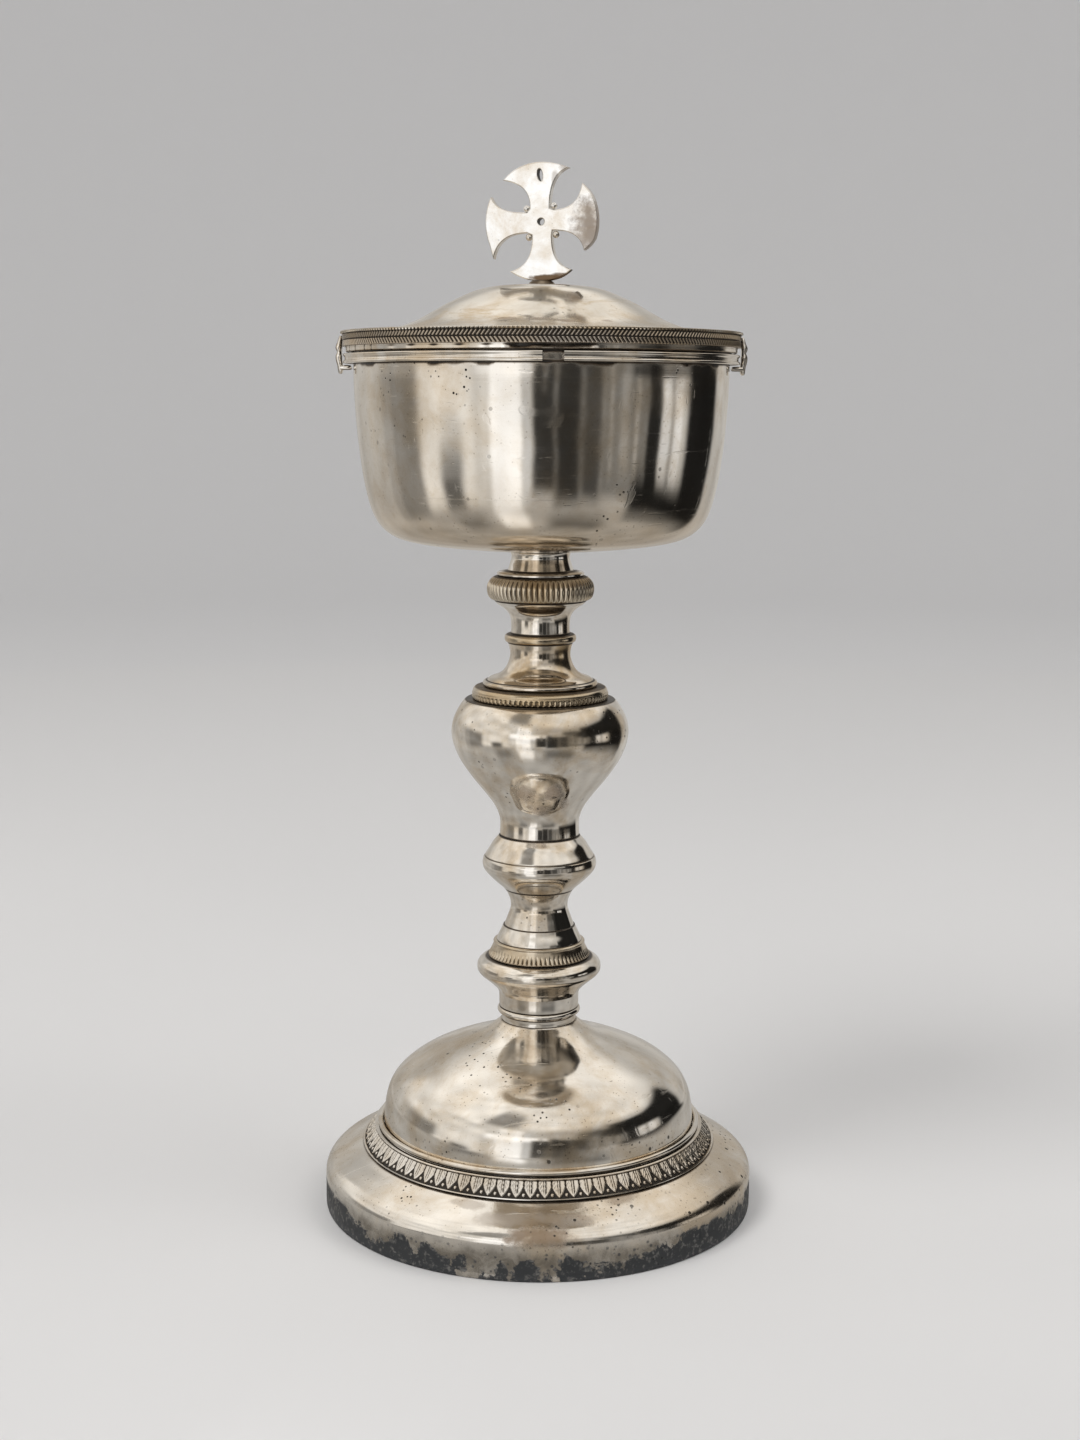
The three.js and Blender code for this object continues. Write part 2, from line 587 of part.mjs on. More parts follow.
// Cross: four arms that widen to a round outline, on a small seat with a screw through the lid
const seatTop = lidTop + SEAT_HEIGHT;
const crossCentre = seatTop + SEAT_GAP + CROSS_RADIUS;
const crossShape = new THREE.Shape();
{
  const inner = CROSS_WAIST / 2;
  const bendHalf = inner * 0.85;
  const endAngle = Math.asin(CROSS_ARM_END / 2 / CROSS_RADIUS);
  for (let arm = 0; arm < 4; arm++) {
    const turned = (arm * Math.PI) / 2;
    const at = (x, y) => point(x, y).rotateAround(point(0, 0), turned);
    const tipX = CROSS_RADIUS * Math.cos(endAngle);
    const bendX = lerp(inner, tipX, 0.66);
    const corner = at(inner, -inner);
    const bend = at(bendX, -bendHalf);
    const tip = at(tipX, -CROSS_ARM_END / 2);
    const bendBack = at(bendX, bendHalf);
    const cornerBack = at(inner, inner);
    if (arm === 0) crossShape.moveTo(corner.x, corner.y);
    crossShape.quadraticCurveTo(bend.x, bend.y, tip.x, tip.y);
    crossShape.absarc(0, 0, CROSS_RADIUS, turned - endAngle, turned + endAngle);
    crossShape.quadraticCurveTo(bendBack.x, bendBack.y, cornerBack.x, cornerBack.y);
  }
  const hole = new THREE.Path();
  hole.absarc(0, 0, CROSS_HOLE_RADIUS, 0, 2 * Math.PI);
  const slot = new THREE.Path();
  slot.absellipse(0, CROSS_SLOT_HEIGHT, CROSS_SLOT_WIDTH / 2, CROSS_SLOT_LENGTH / 2, 0, 2 * Math.PI);
  crossShape.holes.push(hole, slot);
}
const crossFrame = new THREE.Group();
crossFrame.position.z = crossCentre;
crossFrame.rotation.set(0, degToRad(-CROSS_TILT), degToRad(-CROSS_YAW), "ZYX");
chalice.add(crossFrame);

const crossPlate = new THREE.ExtrudeGeometry(crossShape, {
  depth: CROSS_THICKNESS,
  bevelEnabled: false,
  curveSegments: 6,
});
crossPlate.translate(0, 0, -CROSS_THICKNESS / 2);
crossPlate.rotateX(Math.PI / 2);
place("cross", crossPlate, POLISHED, crossFrame);

const beadPlace = CROSS_WAIST / 2 + SOLDER_GAP + CROSS_BEAD_RADIUS;
const beadCorners = {
  upper_right: [1, 1],
  upper_left: [-1, 1],
  lower_left: [-1, -1],
  lower_right: [1, -1],
};
for (const [corner, [x, z]] of Object.entries(beadCorners)) {
  const bead = new THREE.SphereGeometry(CROSS_BEAD_RADIUS, 8, 5);
  bead.translate(x * beadPlace, CROSS_THICKNESS / 4, z * beadPlace);
  place("cross_bead_" + corner, bead, TARNISHED, crossFrame);
}

const seatLine = [point(SEAT_RADIUS, lidTop), point(SEAT_RADIUS - SEAT_SLOPE, seatTop)];
place("cross_seat", bored(seatLine, screwBore, SMALL_SIDES), TARNISHED);

const underLid = offset(lidLine, LID_SHEET);
const finialWasherTop = heightAt(underLid, FINIAL_WASHER_RADIUS) - SEAT_GAP;
const finialNutTop = finialWasherTop - FINIAL_WASHER_THICKNESS;
const finialNutBottom = finialNutTop - FINIAL_NUT_HEIGHT;
const screwEnd = finialNutBottom - SCREW_END_BELOW_NUT;
place("finial_screw", rod(SCREW_RADIUS, screwEnd, seatTop, SMALL_SIDES), STEEL);
place(
  "finial_washer",
  ring(screwBore, FINIAL_WASHER_RADIUS, finialNutTop, FINIAL_WASHER_THICKNESS, SMALL_SIDES),
  YELLOWED,
);
place(
  "finial_nut",
  ring(screwBore, FINIAL_NUT_RADIUS, finialNutBottom, FINIAL_NUT_HEIGHT, SMALL_SIDES),
  YELLOWED,
);

export default chalice;
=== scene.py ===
# A silver chalice with a fitted lid and a cross, dressed for a studio picture.
# Lengths in the outlines are millimetres, and every mesh is scaled to metres as it is made.
import math

import bmesh
import bpy
import numpy as np
from mathutils import Matrix, Vector


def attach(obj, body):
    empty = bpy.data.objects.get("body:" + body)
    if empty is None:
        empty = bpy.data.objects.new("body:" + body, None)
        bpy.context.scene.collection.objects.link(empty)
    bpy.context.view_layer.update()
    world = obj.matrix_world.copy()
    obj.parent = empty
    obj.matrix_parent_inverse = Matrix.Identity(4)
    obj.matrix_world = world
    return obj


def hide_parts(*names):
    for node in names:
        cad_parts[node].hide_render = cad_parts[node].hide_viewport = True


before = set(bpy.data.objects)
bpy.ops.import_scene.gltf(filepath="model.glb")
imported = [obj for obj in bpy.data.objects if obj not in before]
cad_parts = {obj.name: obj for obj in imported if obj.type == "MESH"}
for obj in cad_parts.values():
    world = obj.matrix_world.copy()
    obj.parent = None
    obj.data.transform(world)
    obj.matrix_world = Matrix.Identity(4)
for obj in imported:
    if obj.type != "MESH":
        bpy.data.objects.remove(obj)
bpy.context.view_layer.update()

MM = 0.001
TAU = 2 * math.pi
# Sides of the turned pieces: of the wide ones, of those in the stem, of the foot's edge and the lid's band
FINE = 360
STEM = 192
EDGE_SIDES = 720
BAND_SIDES = 1080
# Wall of the sheet metal pieces, and points that count as one
WALL = 1.0
SAME_POINT = 1e-7
ON_AXIS = 1e-6

# Camera at the photograph's viewing angle
CAMERA_PLACE = (0.0, -0.50598, 0.20478)
CAMERA_PITCH = 81.063
CAMERA_ROLL = 0.25
CAMERA_LENS = 50.83
CAMERA_SENSOR = 36
CAMERA_NEAREST = 0.01

scene = bpy.context.scene


def put_in_scene(name, data):
    obj = bpy.data.objects.new(name, data)
    scene.collection.objects.link(obj)
    return obj


camera_data = bpy.data.cameras.new("camera")
camera_data.sensor_fit = "VERTICAL"
camera_data.sensor_height = CAMERA_SENSOR
camera_data.lens = CAMERA_LENS
camera_data.clip_start = CAMERA_NEAREST
camera = put_in_scene("camera", camera_data)
camera.rotation_euler = (Matrix.Rotation(math.radians(CAMERA_PITCH), 3, "X")
                         @ Matrix.Rotation(math.radians(CAMERA_ROLL), 3, "Z")).to_euler()
camera.location = CAMERA_PLACE
scene.camera = camera
scene.view_settings.view_transform = "Standard"


# Curves

def bend(points, steps=6):
    """A smooth line through the points, in short straight steps."""
    p = np.array([points[0]] + list(points) + [points[-1]], float)
    p[0] = 2 * p[1] - p[2]
    p[-1] = 2 * p[-2] - p[-3]
    line = []
    for i in range(1, len(p) - 2):
        a, b, c, d = p[i - 1], p[i], p[i + 1], p[i + 2]
        before, here, after = (np.linalg.norm(v) for v in (b - a, c - b, d - c))
        ta = (c - a) * here / (here + before)
        tb = (d - b) * here / (here + after)
        for t in np.arange(steps) / steps:
            h = (2 * t**3 - 3 * t**2 + 1, t**3 - 2 * t**2 + t, 3 * t**2 - 2 * t**3, t**3 - t**2)
            line.append(h[0] * b + h[1] * ta + h[2] * c + h[3] * tb)
    line.append(p[-2])
    return [tuple(q) for q in line]


def straight(*points, step=0.6):
    """Straight strokes, cut into short steps so that relief can follow them."""
    line = [points[0]]
    for a, b in zip(points, points[1:]):
        count = max(1, int(math.dist(a, b) / step))
        line += [(a[0] + (b[0] - a[0]) * k / count, a[1] + (b[1] - a[1]) * k / count)
                 for k in range(1, count + 1)]
    return line


def moved_left(line, wall):
    """The line moved to its left by the wall, for the hidden side of a sheet."""
    p = np.array(line, float)
    t = np.gradient(p, axis=0)
    t /= np.linalg.norm(t, axis=1)[:, None]
    return [tuple(q) for q in p + wall * np.stack([-t[:, 1], t[:, 0]], 1)]


def ellipse(x, y, wide, high, count):
    return [(x + wide * math.cos(a), y + high * math.sin(a)) for a in np.arange(count) * TAU / count]


# Shares and waves

def waves(theta, height, size, seed, turns=(2, 3, 5, 8), rises=(0.03, 0.11, 0.17, 0.05)):
    """The gentle unevenness that a hand leaves in sheet metal, of about the given size in millimetres."""
    total = 0
    for k, (turn, rise) in enumerate(zip(turns, rises)):
        total = total + np.cos(turn * theta + rise * height * (1 + k) + seed * (1.7 + k)) / (k + 1)
    return size * total / 2


def near(value, middle, width):
    """1 at the middle, falling softly to 0 over the width on both sides."""
    return np.exp(-(((value - middle) / width) ** 2))


def apart(theta, degrees):
    """How far round each point lies from the given place, from minus to plus half a turn."""
    return (theta - math.radians(degrees) + math.pi) % TAU - math.pi


def notches(theta, count, power, shift=0.0):
    """Cut notches right round: 1 in the middle of each. A low power makes them wide."""
    return (1 - np.abs(np.sin(0.5 * count * theta + shift))) ** power


def ramp(value, low, high):
    """A soft step from 0 at low to 1 at high. High may be the smaller one."""
    t = np.clip((value - low) / (high - low), 0, 1)
    return t * t * (3 - 2 * t)


# Meshes

def clean(mesh, sharp):
    """Joins double points, turns all faces outwards and shades smooth up to the sharp angle."""
    work = bmesh.new()
    work.from_mesh(mesh)
    bmesh.ops.remove_doubles(work, verts=work.verts, dist=SAME_POINT)
    bmesh.ops.recalc_face_normals(work, faces=work.faces)
    work.to_mesh(mesh)
    work.free()
    mesh.shade_smooth()
    mesh.set_sharp_from_angle(angle=math.radians(sharp))


def finish_mesh(name, verts, faces, recess_and_shade, sharp):
    """A mesh from points in millimetres that knows how deep each point lies in a hollow and how much painted
    shade it takes.
    """
    mesh = bpy.data.meshes.new(name)
    mesh.from_pydata((np.asarray(verts) * MM).tolist(), [], faces)
    layer = mesh.attributes.new("recess_and_shade", "FLOAT", "POINT")
    layer.data.foreach_set("value", np.asarray(recess_and_shade, np.float32).ravel())
    clean(mesh, sharp)
    return mesh


def piece(name, mesh, body, slot, metal, *nodes):
    """A visible piece on its body, in place of the named CAD nodes."""
    obj = put_in_scene(name, mesh)
    mesh.materials.clear()
    mesh.materials.append(metal)
    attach(obj, body)
    if nodes:
        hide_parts(*nodes)


def net(count, n, whole, closed):
    """Four-sided faces between count lines of n points each. A whole net joins its last line to its
    first, a closed one the last point of each line to the first."""
    i = np.arange(count if whole else count - 1)[:, None] * n
    k = (i + n) % (count * n)
    j = np.arange(n if closed else n - 1)
    m = (j + 1) % n
    return np.stack([i + j, k + j, k + m, i + m], -1).reshape(-1, 4).tolist()


def turned(name, outline, sides=STEM, relief=None, sharp=38, arc=None):
    """A solid of revolution from a closed outline. Relief takes each point's angle, radius and height
    and returns its radius change, its height change and how dark it is made, from 0 to 1: brown patina
    in hollows, and painted shade under and between parts."""
    loop = np.array(outline, float)
    whole = arc is None
    start, end = (0, TAU) if whole else arc
    count = sides if whole else sides + 1
    theta = (start + (end - start) * np.arange(count) / sides)[:, None]
    r = np.repeat(loop[None, :, 0], count, 0)
    z = np.repeat(loop[None, :, 1], count, 0)
    depth = np.zeros_like(r)
    if relief:
        dr, dz, depth = relief(theta, r, z)
        on_axis = r < ON_AXIS
        r = np.where(on_axis, r, r + dr)
        z = z + dz
        depth = np.clip(depth + np.zeros_like(r), 0, 1)
    verts = np.stack([r * np.cos(theta), r * np.sin(theta), z], -1).reshape(-1, 3)
    n = len(loop)
    from_axis_to_axis = loop[0, 0] < ON_AXIS and loop[-1, 0] < ON_AXIS
    faces = net(count, n, whole, not from_axis_to_axis)
    if not whole:
        faces.append(list(range(n)))
        faces.append([(count - 1) * n + k for k in reversed(range(n))])
    return finish_mesh(name, verts, faces, depth, sharp)


def turned_piece(name, node, body, slot, metal, outline, *how, **more):
    """A turned mesh as the piece that takes the place of one CAD node."""
    piece(name, turned(node + "_fine", outline, *how, **more), body, slot, metal, node)


# Node trees, by short calls

class Tree:
    """A new material's nodes. A value may be a number, a colour or another node's output."""

    def __init__(self, name):
        self.material = bpy.data.materials.new(name)
        self.material.use_nodes = True
        self.tree = self.material.node_tree
        self.tree.nodes.clear()

    def shown(self, shader):
        """The finished material, with this shader on its surface."""
        self.put(self.add("ShaderNodeOutputMaterial").inputs["Surface"], shader.outputs[0])
        return self.material

    def add(self, kind, **values):
        """A node whose keywords set its sockets, its options or, as at_0 and at_1, its numbered sockets."""
        node = self.tree.nodes.new(kind)
        for key, value in values.items():
            if key.startswith("at_"):
                self.put(node.inputs[int(key[3:])], value)
            elif key in node.inputs and not hasattr(node, key):
                self.put(node.inputs[key], value)
            else:
                setattr(node, key, value)
        return node

    def put(self, socket, value):
        if isinstance(value, bpy.types.NodeSocket):
            self.tree.links.new(value, socket)
        else:
            socket.default_value = value

    def fed(self, node, *values):
        """The result of a node with the values put into its first sockets."""
        for socket, value in zip(node.inputs, values):
            self.put(socket, value)
        return node.outputs[0]

    def maths(self, operation, a, b=0.0, c=0.0, clamp=False):
        return self.fed(self.add("ShaderNodeMath", operation=operation, use_clamp=clamp), a, b, c)

    def times(self, a, b):
        return self.maths("MULTIPLY", a, b)

    def plus(self, a, b):
        return self.maths("ADD", a, b)

    def most(self, a, b):
        return self.maths("MAXIMUM", a, b)

    def swing(self, value, size):
        """A noise value about 0 instead of 0.5, times the size."""
        return self.times(self.plus(value, -0.5), size)

    def between(self, value, low, high, to_low=0.0, to_high=1.0):
        """A soft step from low to high, also downwards."""
        node = self.add("ShaderNodeMapRange", interpolation_type="SMOOTHSTEP")
        return self.fed(node, value, low, high, to_low, to_high)

    def blend(self, amount, a, b):
        """Two colours mixed. A Mix node has its colours in sockets 6 and 7, and the result in 2."""
        return self.add("ShaderNodeMix", data_type="RGBA", clamp_factor=True, at_0=amount, at_6=a,
                        at_7=b).outputs[2]


# Silver

SILVER = (0.87, 0.835, 0.78, 1)
SHADED = (0.72, 0.65, 0.55, 1)
TAN = (0.55, 0.41, 0.24, 1)
RUST_AND_SHADE = (0.20, 0.125, 0.065, 1)
BROWN = (0.12, 0.08, 0.045, 1)
NEAR_BLACK = (0.012, 0.011, 0.010, 1)
HAZE = (0.25, 0.225, 0.19, 1)
SLATE = (0.045, 0.048, 0.052, 1)
PALE_SLATE = (0.20, 0.195, 0.185, 1)
SMOOTHEST = 0.035
BUMP_STRENGTH = 0.35
BUMP_DEPTH = 0.00003


class Metal(Tree):
    """A metal's nodes, with what its layers have made of its colour, rough, metal and height so far."""

    def __init__(self, name):
        super().__init__(name)
        self.where = self.add("ShaderNodeTexCoord").outputs["Object"]

    def stretched(self, stretch, turn=(0, 0, 0)):
        return self.add("ShaderNodeMapping", Vector=self.where, Rotation=turn, Scale=stretch).outputs[0]

    def noise(self, scale, detail, rough=0.55, warp=0.0, where=None):
        return self.add("ShaderNodeTexNoise", Vector=where or self.where, Scale=scale, Detail=detail,
                        Roughness=rough, Distortion=warp).outputs[0]

    def spots(self, scale, size):
        """Small round dots, about one in each cell."""
        away = self.add("ShaderNodeTexVoronoi", Vector=self.where, Scale=scale).outputs[0]
        return self.between(away, size, size * 0.6)

    def along(self, axis):
        return self.add("ShaderNodeSeparateXYZ", Vector=self.where).outputs[axis]

    def cover(self, amount, colour, rougher, metal=1.0, height=0.0):
        """A layer of a colour, rougher than what it covers, and perhaps less metallic or higher."""
        self.colour = self.blend(amount, self.colour, colour)
        if metal < 1:
            self.metal = self.times(self.metal, self.between(amount, 0.0, 1.0, 1.0, metal))
        self.cut(amount, height, amount, rougher)

    def cut(self, deep, height, dull, rougher):
        """A change of height where it is deep and of roughness where it is dull."""
        self.rough = self.plus(self.rough, self.times(dull, rougher))
        if height:
            self.height = self.plus(self.height, self.times(deep, height))


def haze_mask(t, mottle):
    """The grey haze low on the foot."""
    haze = t.between(t.plus(t.along("Z"), t.swing(mottle, 0.007)), 0.0095, 0.0055)
    return t.times(haze, t.between(t.noise(170, 5, 0.7, 0.4), 0.3, 0.6, 0.45, 0.95))


def blotch_and_shade_mask(t, fine):
    """The dark spots low on the foot, which crowd together towards its left and right sides as painted shade.
    """
    rise = t.along("Z")
    low = t.between(rise, 0.0084, 0.0025, -0.22, 0.075)
    # More of them towards the left and right: painted shade at the sides.
    side = t.between(t.maths("ABSOLUTE", t.along("X")), 0.02, 0.052, 0.0, 0.16)
    field = t.plus(t.swing(t.noise(85, 4, 0.6, 0.5), 1.5), t.plus(low, side))
    field = t.plus(field, t.swing(t.noise(260, 4, 0.7, 0.5), 0.55))
    field = t.plus(field, t.plus(t.swing(fine, 0.3), 0.5))
    bits = t.times(t.spots(480, 0.24), t.between(rise, 0.0115, 0.006))
    mark = t.times(t.between(field, 0.44, 0.51), t.between(rise, 0.0082, 0.0070))
    return t.most(mark, t.times(bits, 0.8))


def stain_and_shade_mask(t, ragged, centre, size, turn):
    """An oval with a ragged edge: its centre and half sizes in millimetres, its turn in degrees."""
    oval = t.add("ShaderNodeMapping", vector_type="TEXTURE", Vector=t.where,
                 Location=[c * MM for c in centre], Rotation=(0, 0, math.radians(turn)),
                 Scale=[c * MM for c in size])
    away = t.add("ShaderNodeVectorMath", operation="LENGTH", at_0=oval.outputs[0]).outputs["Value"]
    return t.between(t.plus(away, ragged), 1.1, 0.55)


def pit_mask(t, amount, specks):
    """Small and large pits in scattered groups, and in the given places with their reach."""
    gate = t.between(t.noise(45, 3), 0.62 - 0.14 * amount, 0.68)
    for x, y, z, wide in specks:
        away = t.add("ShaderNodeVectorMath", operation="DISTANCE", at_0=t.where,
                     at_1=(x * MM, y * MM, z * MM)).outputs["Value"]
        gate = t.most(gate, t.between(away, wide * MM, 0.4 * wide * MM))
    small = t.times(t.spots(560, 0.20), gate)
    large = t.times(t.spots(230, 0.14), t.between(t.noise(30, 2), 0.52, 0.60))
    return t.most(small, t.times(large, min(1.0, amount)))


def silver(name, base=SILVER, tarnish=0.35, pits=0.3, lines=0.0, grime_and_shade=1.0, rough=0.07, patch=26.0,
           specks=(), streaks=0.0, low_film=None, stains_and_shade=(), blotches=False, dusty=0.35, scratches=0.0):
    """Worn silver: tarnish in patches, brown patina in its hollows with painted shade under and between
    parts, pits, rubbed places and tool lines, and ovals of stain, painted shade and painted reflection where
    given.
    """
    t = Metal(name)
    recess_and_shade = t.add("ShaderNodeAttribute", attribute_name="recess_and_shade").outputs["Fac"]
    cloud = t.noise(patch, 6, 0.62, 0.6)
    grain = t.noise(420, 3, 0.6)
    mottle = t.noise(120, 5, 0.65, 0.3)

    film = t.times(t.between(t.plus(cloud, t.swing(mottle, 0.35)), 0.40, 0.70), tarnish)
    if low_film:
        full, none, strength = low_film
        low = t.between(t.plus(t.along("Z"), t.swing(mottle, 0.03)), none * MM, full * MM)
        film = t.most(film, t.times(low, strength))
    edge = t.between(recess_and_shade, 0.05, 0.9)
    dirt_and_shade = t.times(t.plus(edge, t.times(t.times(edge, t.plus(mottle, -0.5)), 0.8)), grime_and_shade)
    dust = t.times(t.spots(880, 0.19), t.between(mottle, 0.42, 0.62))

    t.colour = t.blend(t.between(mottle, 0.35, 0.75, 0.0, 0.5), base, SHADED)
    t.colour = t.blend(film, t.colour, TAN)
    t.colour = t.blend(t.times(dust, dusty), t.colour, BROWN)
    # Brown, then near black where darkest: patina in hollows, and painted shade where the reliefs mark places
    # under and between parts.
    t.colour = t.blend(t.between(dirt_and_shade, 0.12, 0.95, 0.0, 0.97), t.colour, BROWN)
    t.colour = t.blend(t.between(dirt_and_shade, 0.7, 1.05, 0.0, 0.9), t.colour, NEAR_BLACK)
    shine = t.plus(t.plus(rough, t.times(film, 0.16)), t.times(edge, 0.3))
    t.rough = t.plus(shine, t.swing(grain, 0.07))
    t.metal = t.between(dirt_and_shade, 0.6, 1.1, 1.0, 0.35)
    t.height = t.plus(t.times(grain, 0.25), t.times(mottle, 0.35))

    if blotches:
        fine = t.noise(700, 3, 0.65)
        t.cover(haze_mask(t, mottle), HAZE, 0.2)
        slate = t.blend(t.between(fine, 0.5, 0.72), SLATE, PALE_SLATE)
        t.cover(blotch_and_shade_mask(t, fine), slate, 0.3, metal=0.4, height=-2.0)
        t.height = t.plus(t.height, fine)
    if streaks:
        drag = t.noise(1.0, 5, 0.7, 0.8, t.stretched((30, 30, 160)))
        t.cover(t.times(t.between(drag, 0.55, 0.72), streaks), TAN, 0.15)
    for centre, size, turn, strength in stains_and_shade:
        ragged = t.plus(t.swing(mottle, 1.2), t.swing(grain, 0.9))
        spot = stain_and_shade_mask(t, ragged, centre, size, turn)
        t.cover(t.times(spot, strength), RUST_AND_SHADE, 0.25, metal=0.3)
    if pits:
        t.cover(pit_mask(t, pits, specks), NEAR_BLACK, 0.4, height=-1.5)
    if scratches:
        for turn, spread in ((0.5, (35, 900, 120)), (-0.7, (120, 35, 900))):
            field = t.noise(1.0, 2, 0.6, where=t.stretched(spread, (turn, 0.6 * turn, turn)))
            line = t.between(field, 0.66, 0.72)
            t.cut(line, -scratches, line, 0.12 * scratches)
    if lines:
        level = t.noise(1.0, 3, 0.7, where=t.stretched((9, 9, 1500)))
        t.cut(level, lines, t.between(level, 0.55, 0.8), 0.12)

    bump = t.add("ShaderNodeBump", Strength=BUMP_STRENGTH, Distance=BUMP_DEPTH, Height=t.height)
    shader = t.add("ShaderNodeBsdfPrincipled")
    t.put(shader.inputs["Base Color"], t.colour)
    t.put(shader.inputs["Roughness"], t.maths("MAXIMUM", t.rough, SMOOTHEST, clamp=True))
    t.put(shader.inputs["Metallic"], t.metal)
    t.put(shader.inputs["Normal"], bump.outputs[0])
    return t.shown(shader)


# Where the pits crowd together on the cup's wall, in millimetres with their reach
CUP_SPECKS = [(-34.2, -30.8, 209, 8), (-19.7, -41.6, 210, 9), (33, -32, 211, 5)]

# Dull places, painted shade and painted reflections, each with its centre, half sizes, turn and strength
# Low on the knop's front, brown ovals: painted reflections of the small knop and the foot.
KNOP_PAINTED_REFLECTIONS = [((-3.6, -15, 109), (2.6, 4, 3.6), 0, 0.5), ((3.6, -15, 109.5), (3, 4, 3.4), 0, 0.6),
               ((0.5, -13, 104.5), (3.5, 3.5, 2.2), 0, 0.45), ((6, -11, 106.5), (1.5, 3, 3), 0, 0.4)]
# The first four are dull marks, three of them at the lid's dents; the last, in front of the cross's seat, is
# painted shade.
LID_STAINS_AND_SHADE = [((-8.3, -30.8, 223.4), (2.6, 1.9, 0.5), 0, 0.6), ((-0.7, -32.2, 223.3), (3, 1.7, 0.42), 0, 0.6),
              ((6.2, -32.8, 222.9), (2.5, 1.8, 0.46), 0, 0.65), ((15.5, -29.5, 223), (1.8, 1.5, 0.4), 0, 0.5),
              ((0, -8, 232.3), (9, 8, 0.7), 0, 0.5)]
# On the apron's front: painted reflections of the leaf band, the dome and the stem.
FOOT_PAINTED_REFLECTIONS = [((-8, -49, 13), (8, 3.5, 1.6), 0, 0.3), ((7, -49, 13.2), (9, 3.5, 1.7), 0, 0.35),
               ((20, -42.5, 15.5), (6, 4, 1), 25, 0.5), ((-17, -44, 15), (5, 3.5, 0.8), -20, 0.35),
               ((0.5, -52.8, 10.3), (9, 3.6, 2.8), 0, 0.8)]
# At the foot of the lower arm and over the right arm: painted shade; on the upper arm: brown tarnish.
CROSS_STAINS_AND_SHADE = [((1.6, -1, 234.1), (5.2, 5, 0.9), 0, 1), ((5.4, -1, 234.7), (3.2, 5, 0.8), 0, 0.85),
                ((6, -0.5, 260), (2.2, 4, 1.9), 0, 0.5), ((3.2, -0.5, 257.4), (1, 4, 2.6), 0, 0.35),
                ((12.2, -2, 246), (5.3, 4, 9.5), 0, 0.72)]

polished = silver("silver_polished", tarnish=0.6, pits=0.45, rough=0.06, patch=60)
cap_metal = silver("silver_cap", base=(0.74, 0.67, 0.58, 1), tarnish=1.0, pits=0.45, rough=0.08, patch=60)
bowl_metal = silver("silver_bowl", tarnish=0.5, pits=0.3, lines=0.3, rough=0.065, patch=24,
                    specks=CUP_SPECKS, scratches=0.7, low_film=(168, 190, 0.6))
knop_metal = silver("silver_knop", tarnish=0.6, pits=0.5, rough=0.06, patch=60, stains_and_shade=KNOP_PAINTED_REFLECTIONS)
satin = silver("silver_satin", tarnish=0.6, rough=0.09, pits=0.8, patch=38, dusty=0.6, scratches=0.8)
lid_metal = silver("silver_lid", base=(0.79, 0.75, 0.68, 1), tarnish=0.75, rough=0.1, pits=0.25, patch=44,
                   streaks=0.7, dusty=0.5, scratches=0.6, stains_and_shade=LID_STAINS_AND_SHADE)
chased = silver("silver_chased", tarnish=0.5, rough=0.12, pits=0.0, grime_and_shade=1.15)
milled = silver("silver_milled", base=(0.66, 0.59, 0.48, 1), tarnish=0.9, rough=0.12, pits=0.0, grime_and_shade=0.85)
border_metal = silver("silver_border", base=(0.42, 0.385, 0.345, 1), tarnish=0.5, rough=0.2, pits=0.0,
                      grime_and_shade=1.2)
edge_metal = silver("silver_foot", tarnish=0.55, rough=0.1, pits=0.9, patch=34, blotches=True,
                    stains_and_shade=FOOT_PAINTED_REFLECTIONS, dusty=0.6, scratches=1.0)
cross_metal = silver("silver_cross", base=(0.90, 0.905, 0.90, 1), tarnish=0.4, rough=0.13, pits=0.3,
                     patch=90, stains_and_shade=CROSS_STAINS_AND_SHADE, dusty=0.15)
steel = silver("steel", base=(0.5, 0.5, 0.5, 1), tarnish=0.2, rough=0.25, pits=0.2)
brass = silver("brass", base=(0.72, 0.52, 0.24, 1), tarnish=0.5, rough=0.2, pits=0.2)


# Names passed as the slot of more than one piece
POLISHED = "polished_silver"
TARNISHED = "tarnished_silver"


# Foot

def rim_wave(theta):
    return -0.12 + waves(theta, 0, 0.11, 1.3, turns=(3, 7, 11, 19))


def edge_relief(theta, r, z):
    outer = ramp(r, 54, 54.9)
    dents = 0.25 * near(np.sin(theta * 9.5 + 0.4), 1, 0.08) * near(z, 5.5, 1.4)
    # Darkened along its lowest edge by the floor: painted shade.
    return outer * (rim_wave(theta) - dents), 0, outer * 0.15 * near(z, 0, 0.6)


band_line = bend([(54.3, 0), (54.85, 0.15), (55, 0.6)], 4) + straight((55, 1.2), (55, 7), step=0.4)
turned_piece("edge_band", "foot_edge_band", "root", "worn_edge_silver", edge_metal,
             band_line + [(53.6, 7), (53.6, 0)], EDGE_SIDES, edge_relief)

APRON_BEND = [(55, 7.9), (54.85, 9.1), (54.35, 10.3), (53.5, 11.3), (52.4, 12.1)]


def apron_relief(theta, r, z):
    edge = ramp(z, 10.5, 7.2) * ramp(r, 52.8, 54.4)
    skin = ramp(z, 8, 12) * ramp(r, 45, 47)
    # The groove under the leaf band is darkened: painted shade.
    groove = near(r, 44.6, 1) * ramp(z, 15.2, 15.9)
    dent = skin * waves(theta, 3 * r, 0.09, 2.1)
    return edge * rim_wave(theta), dent, groove


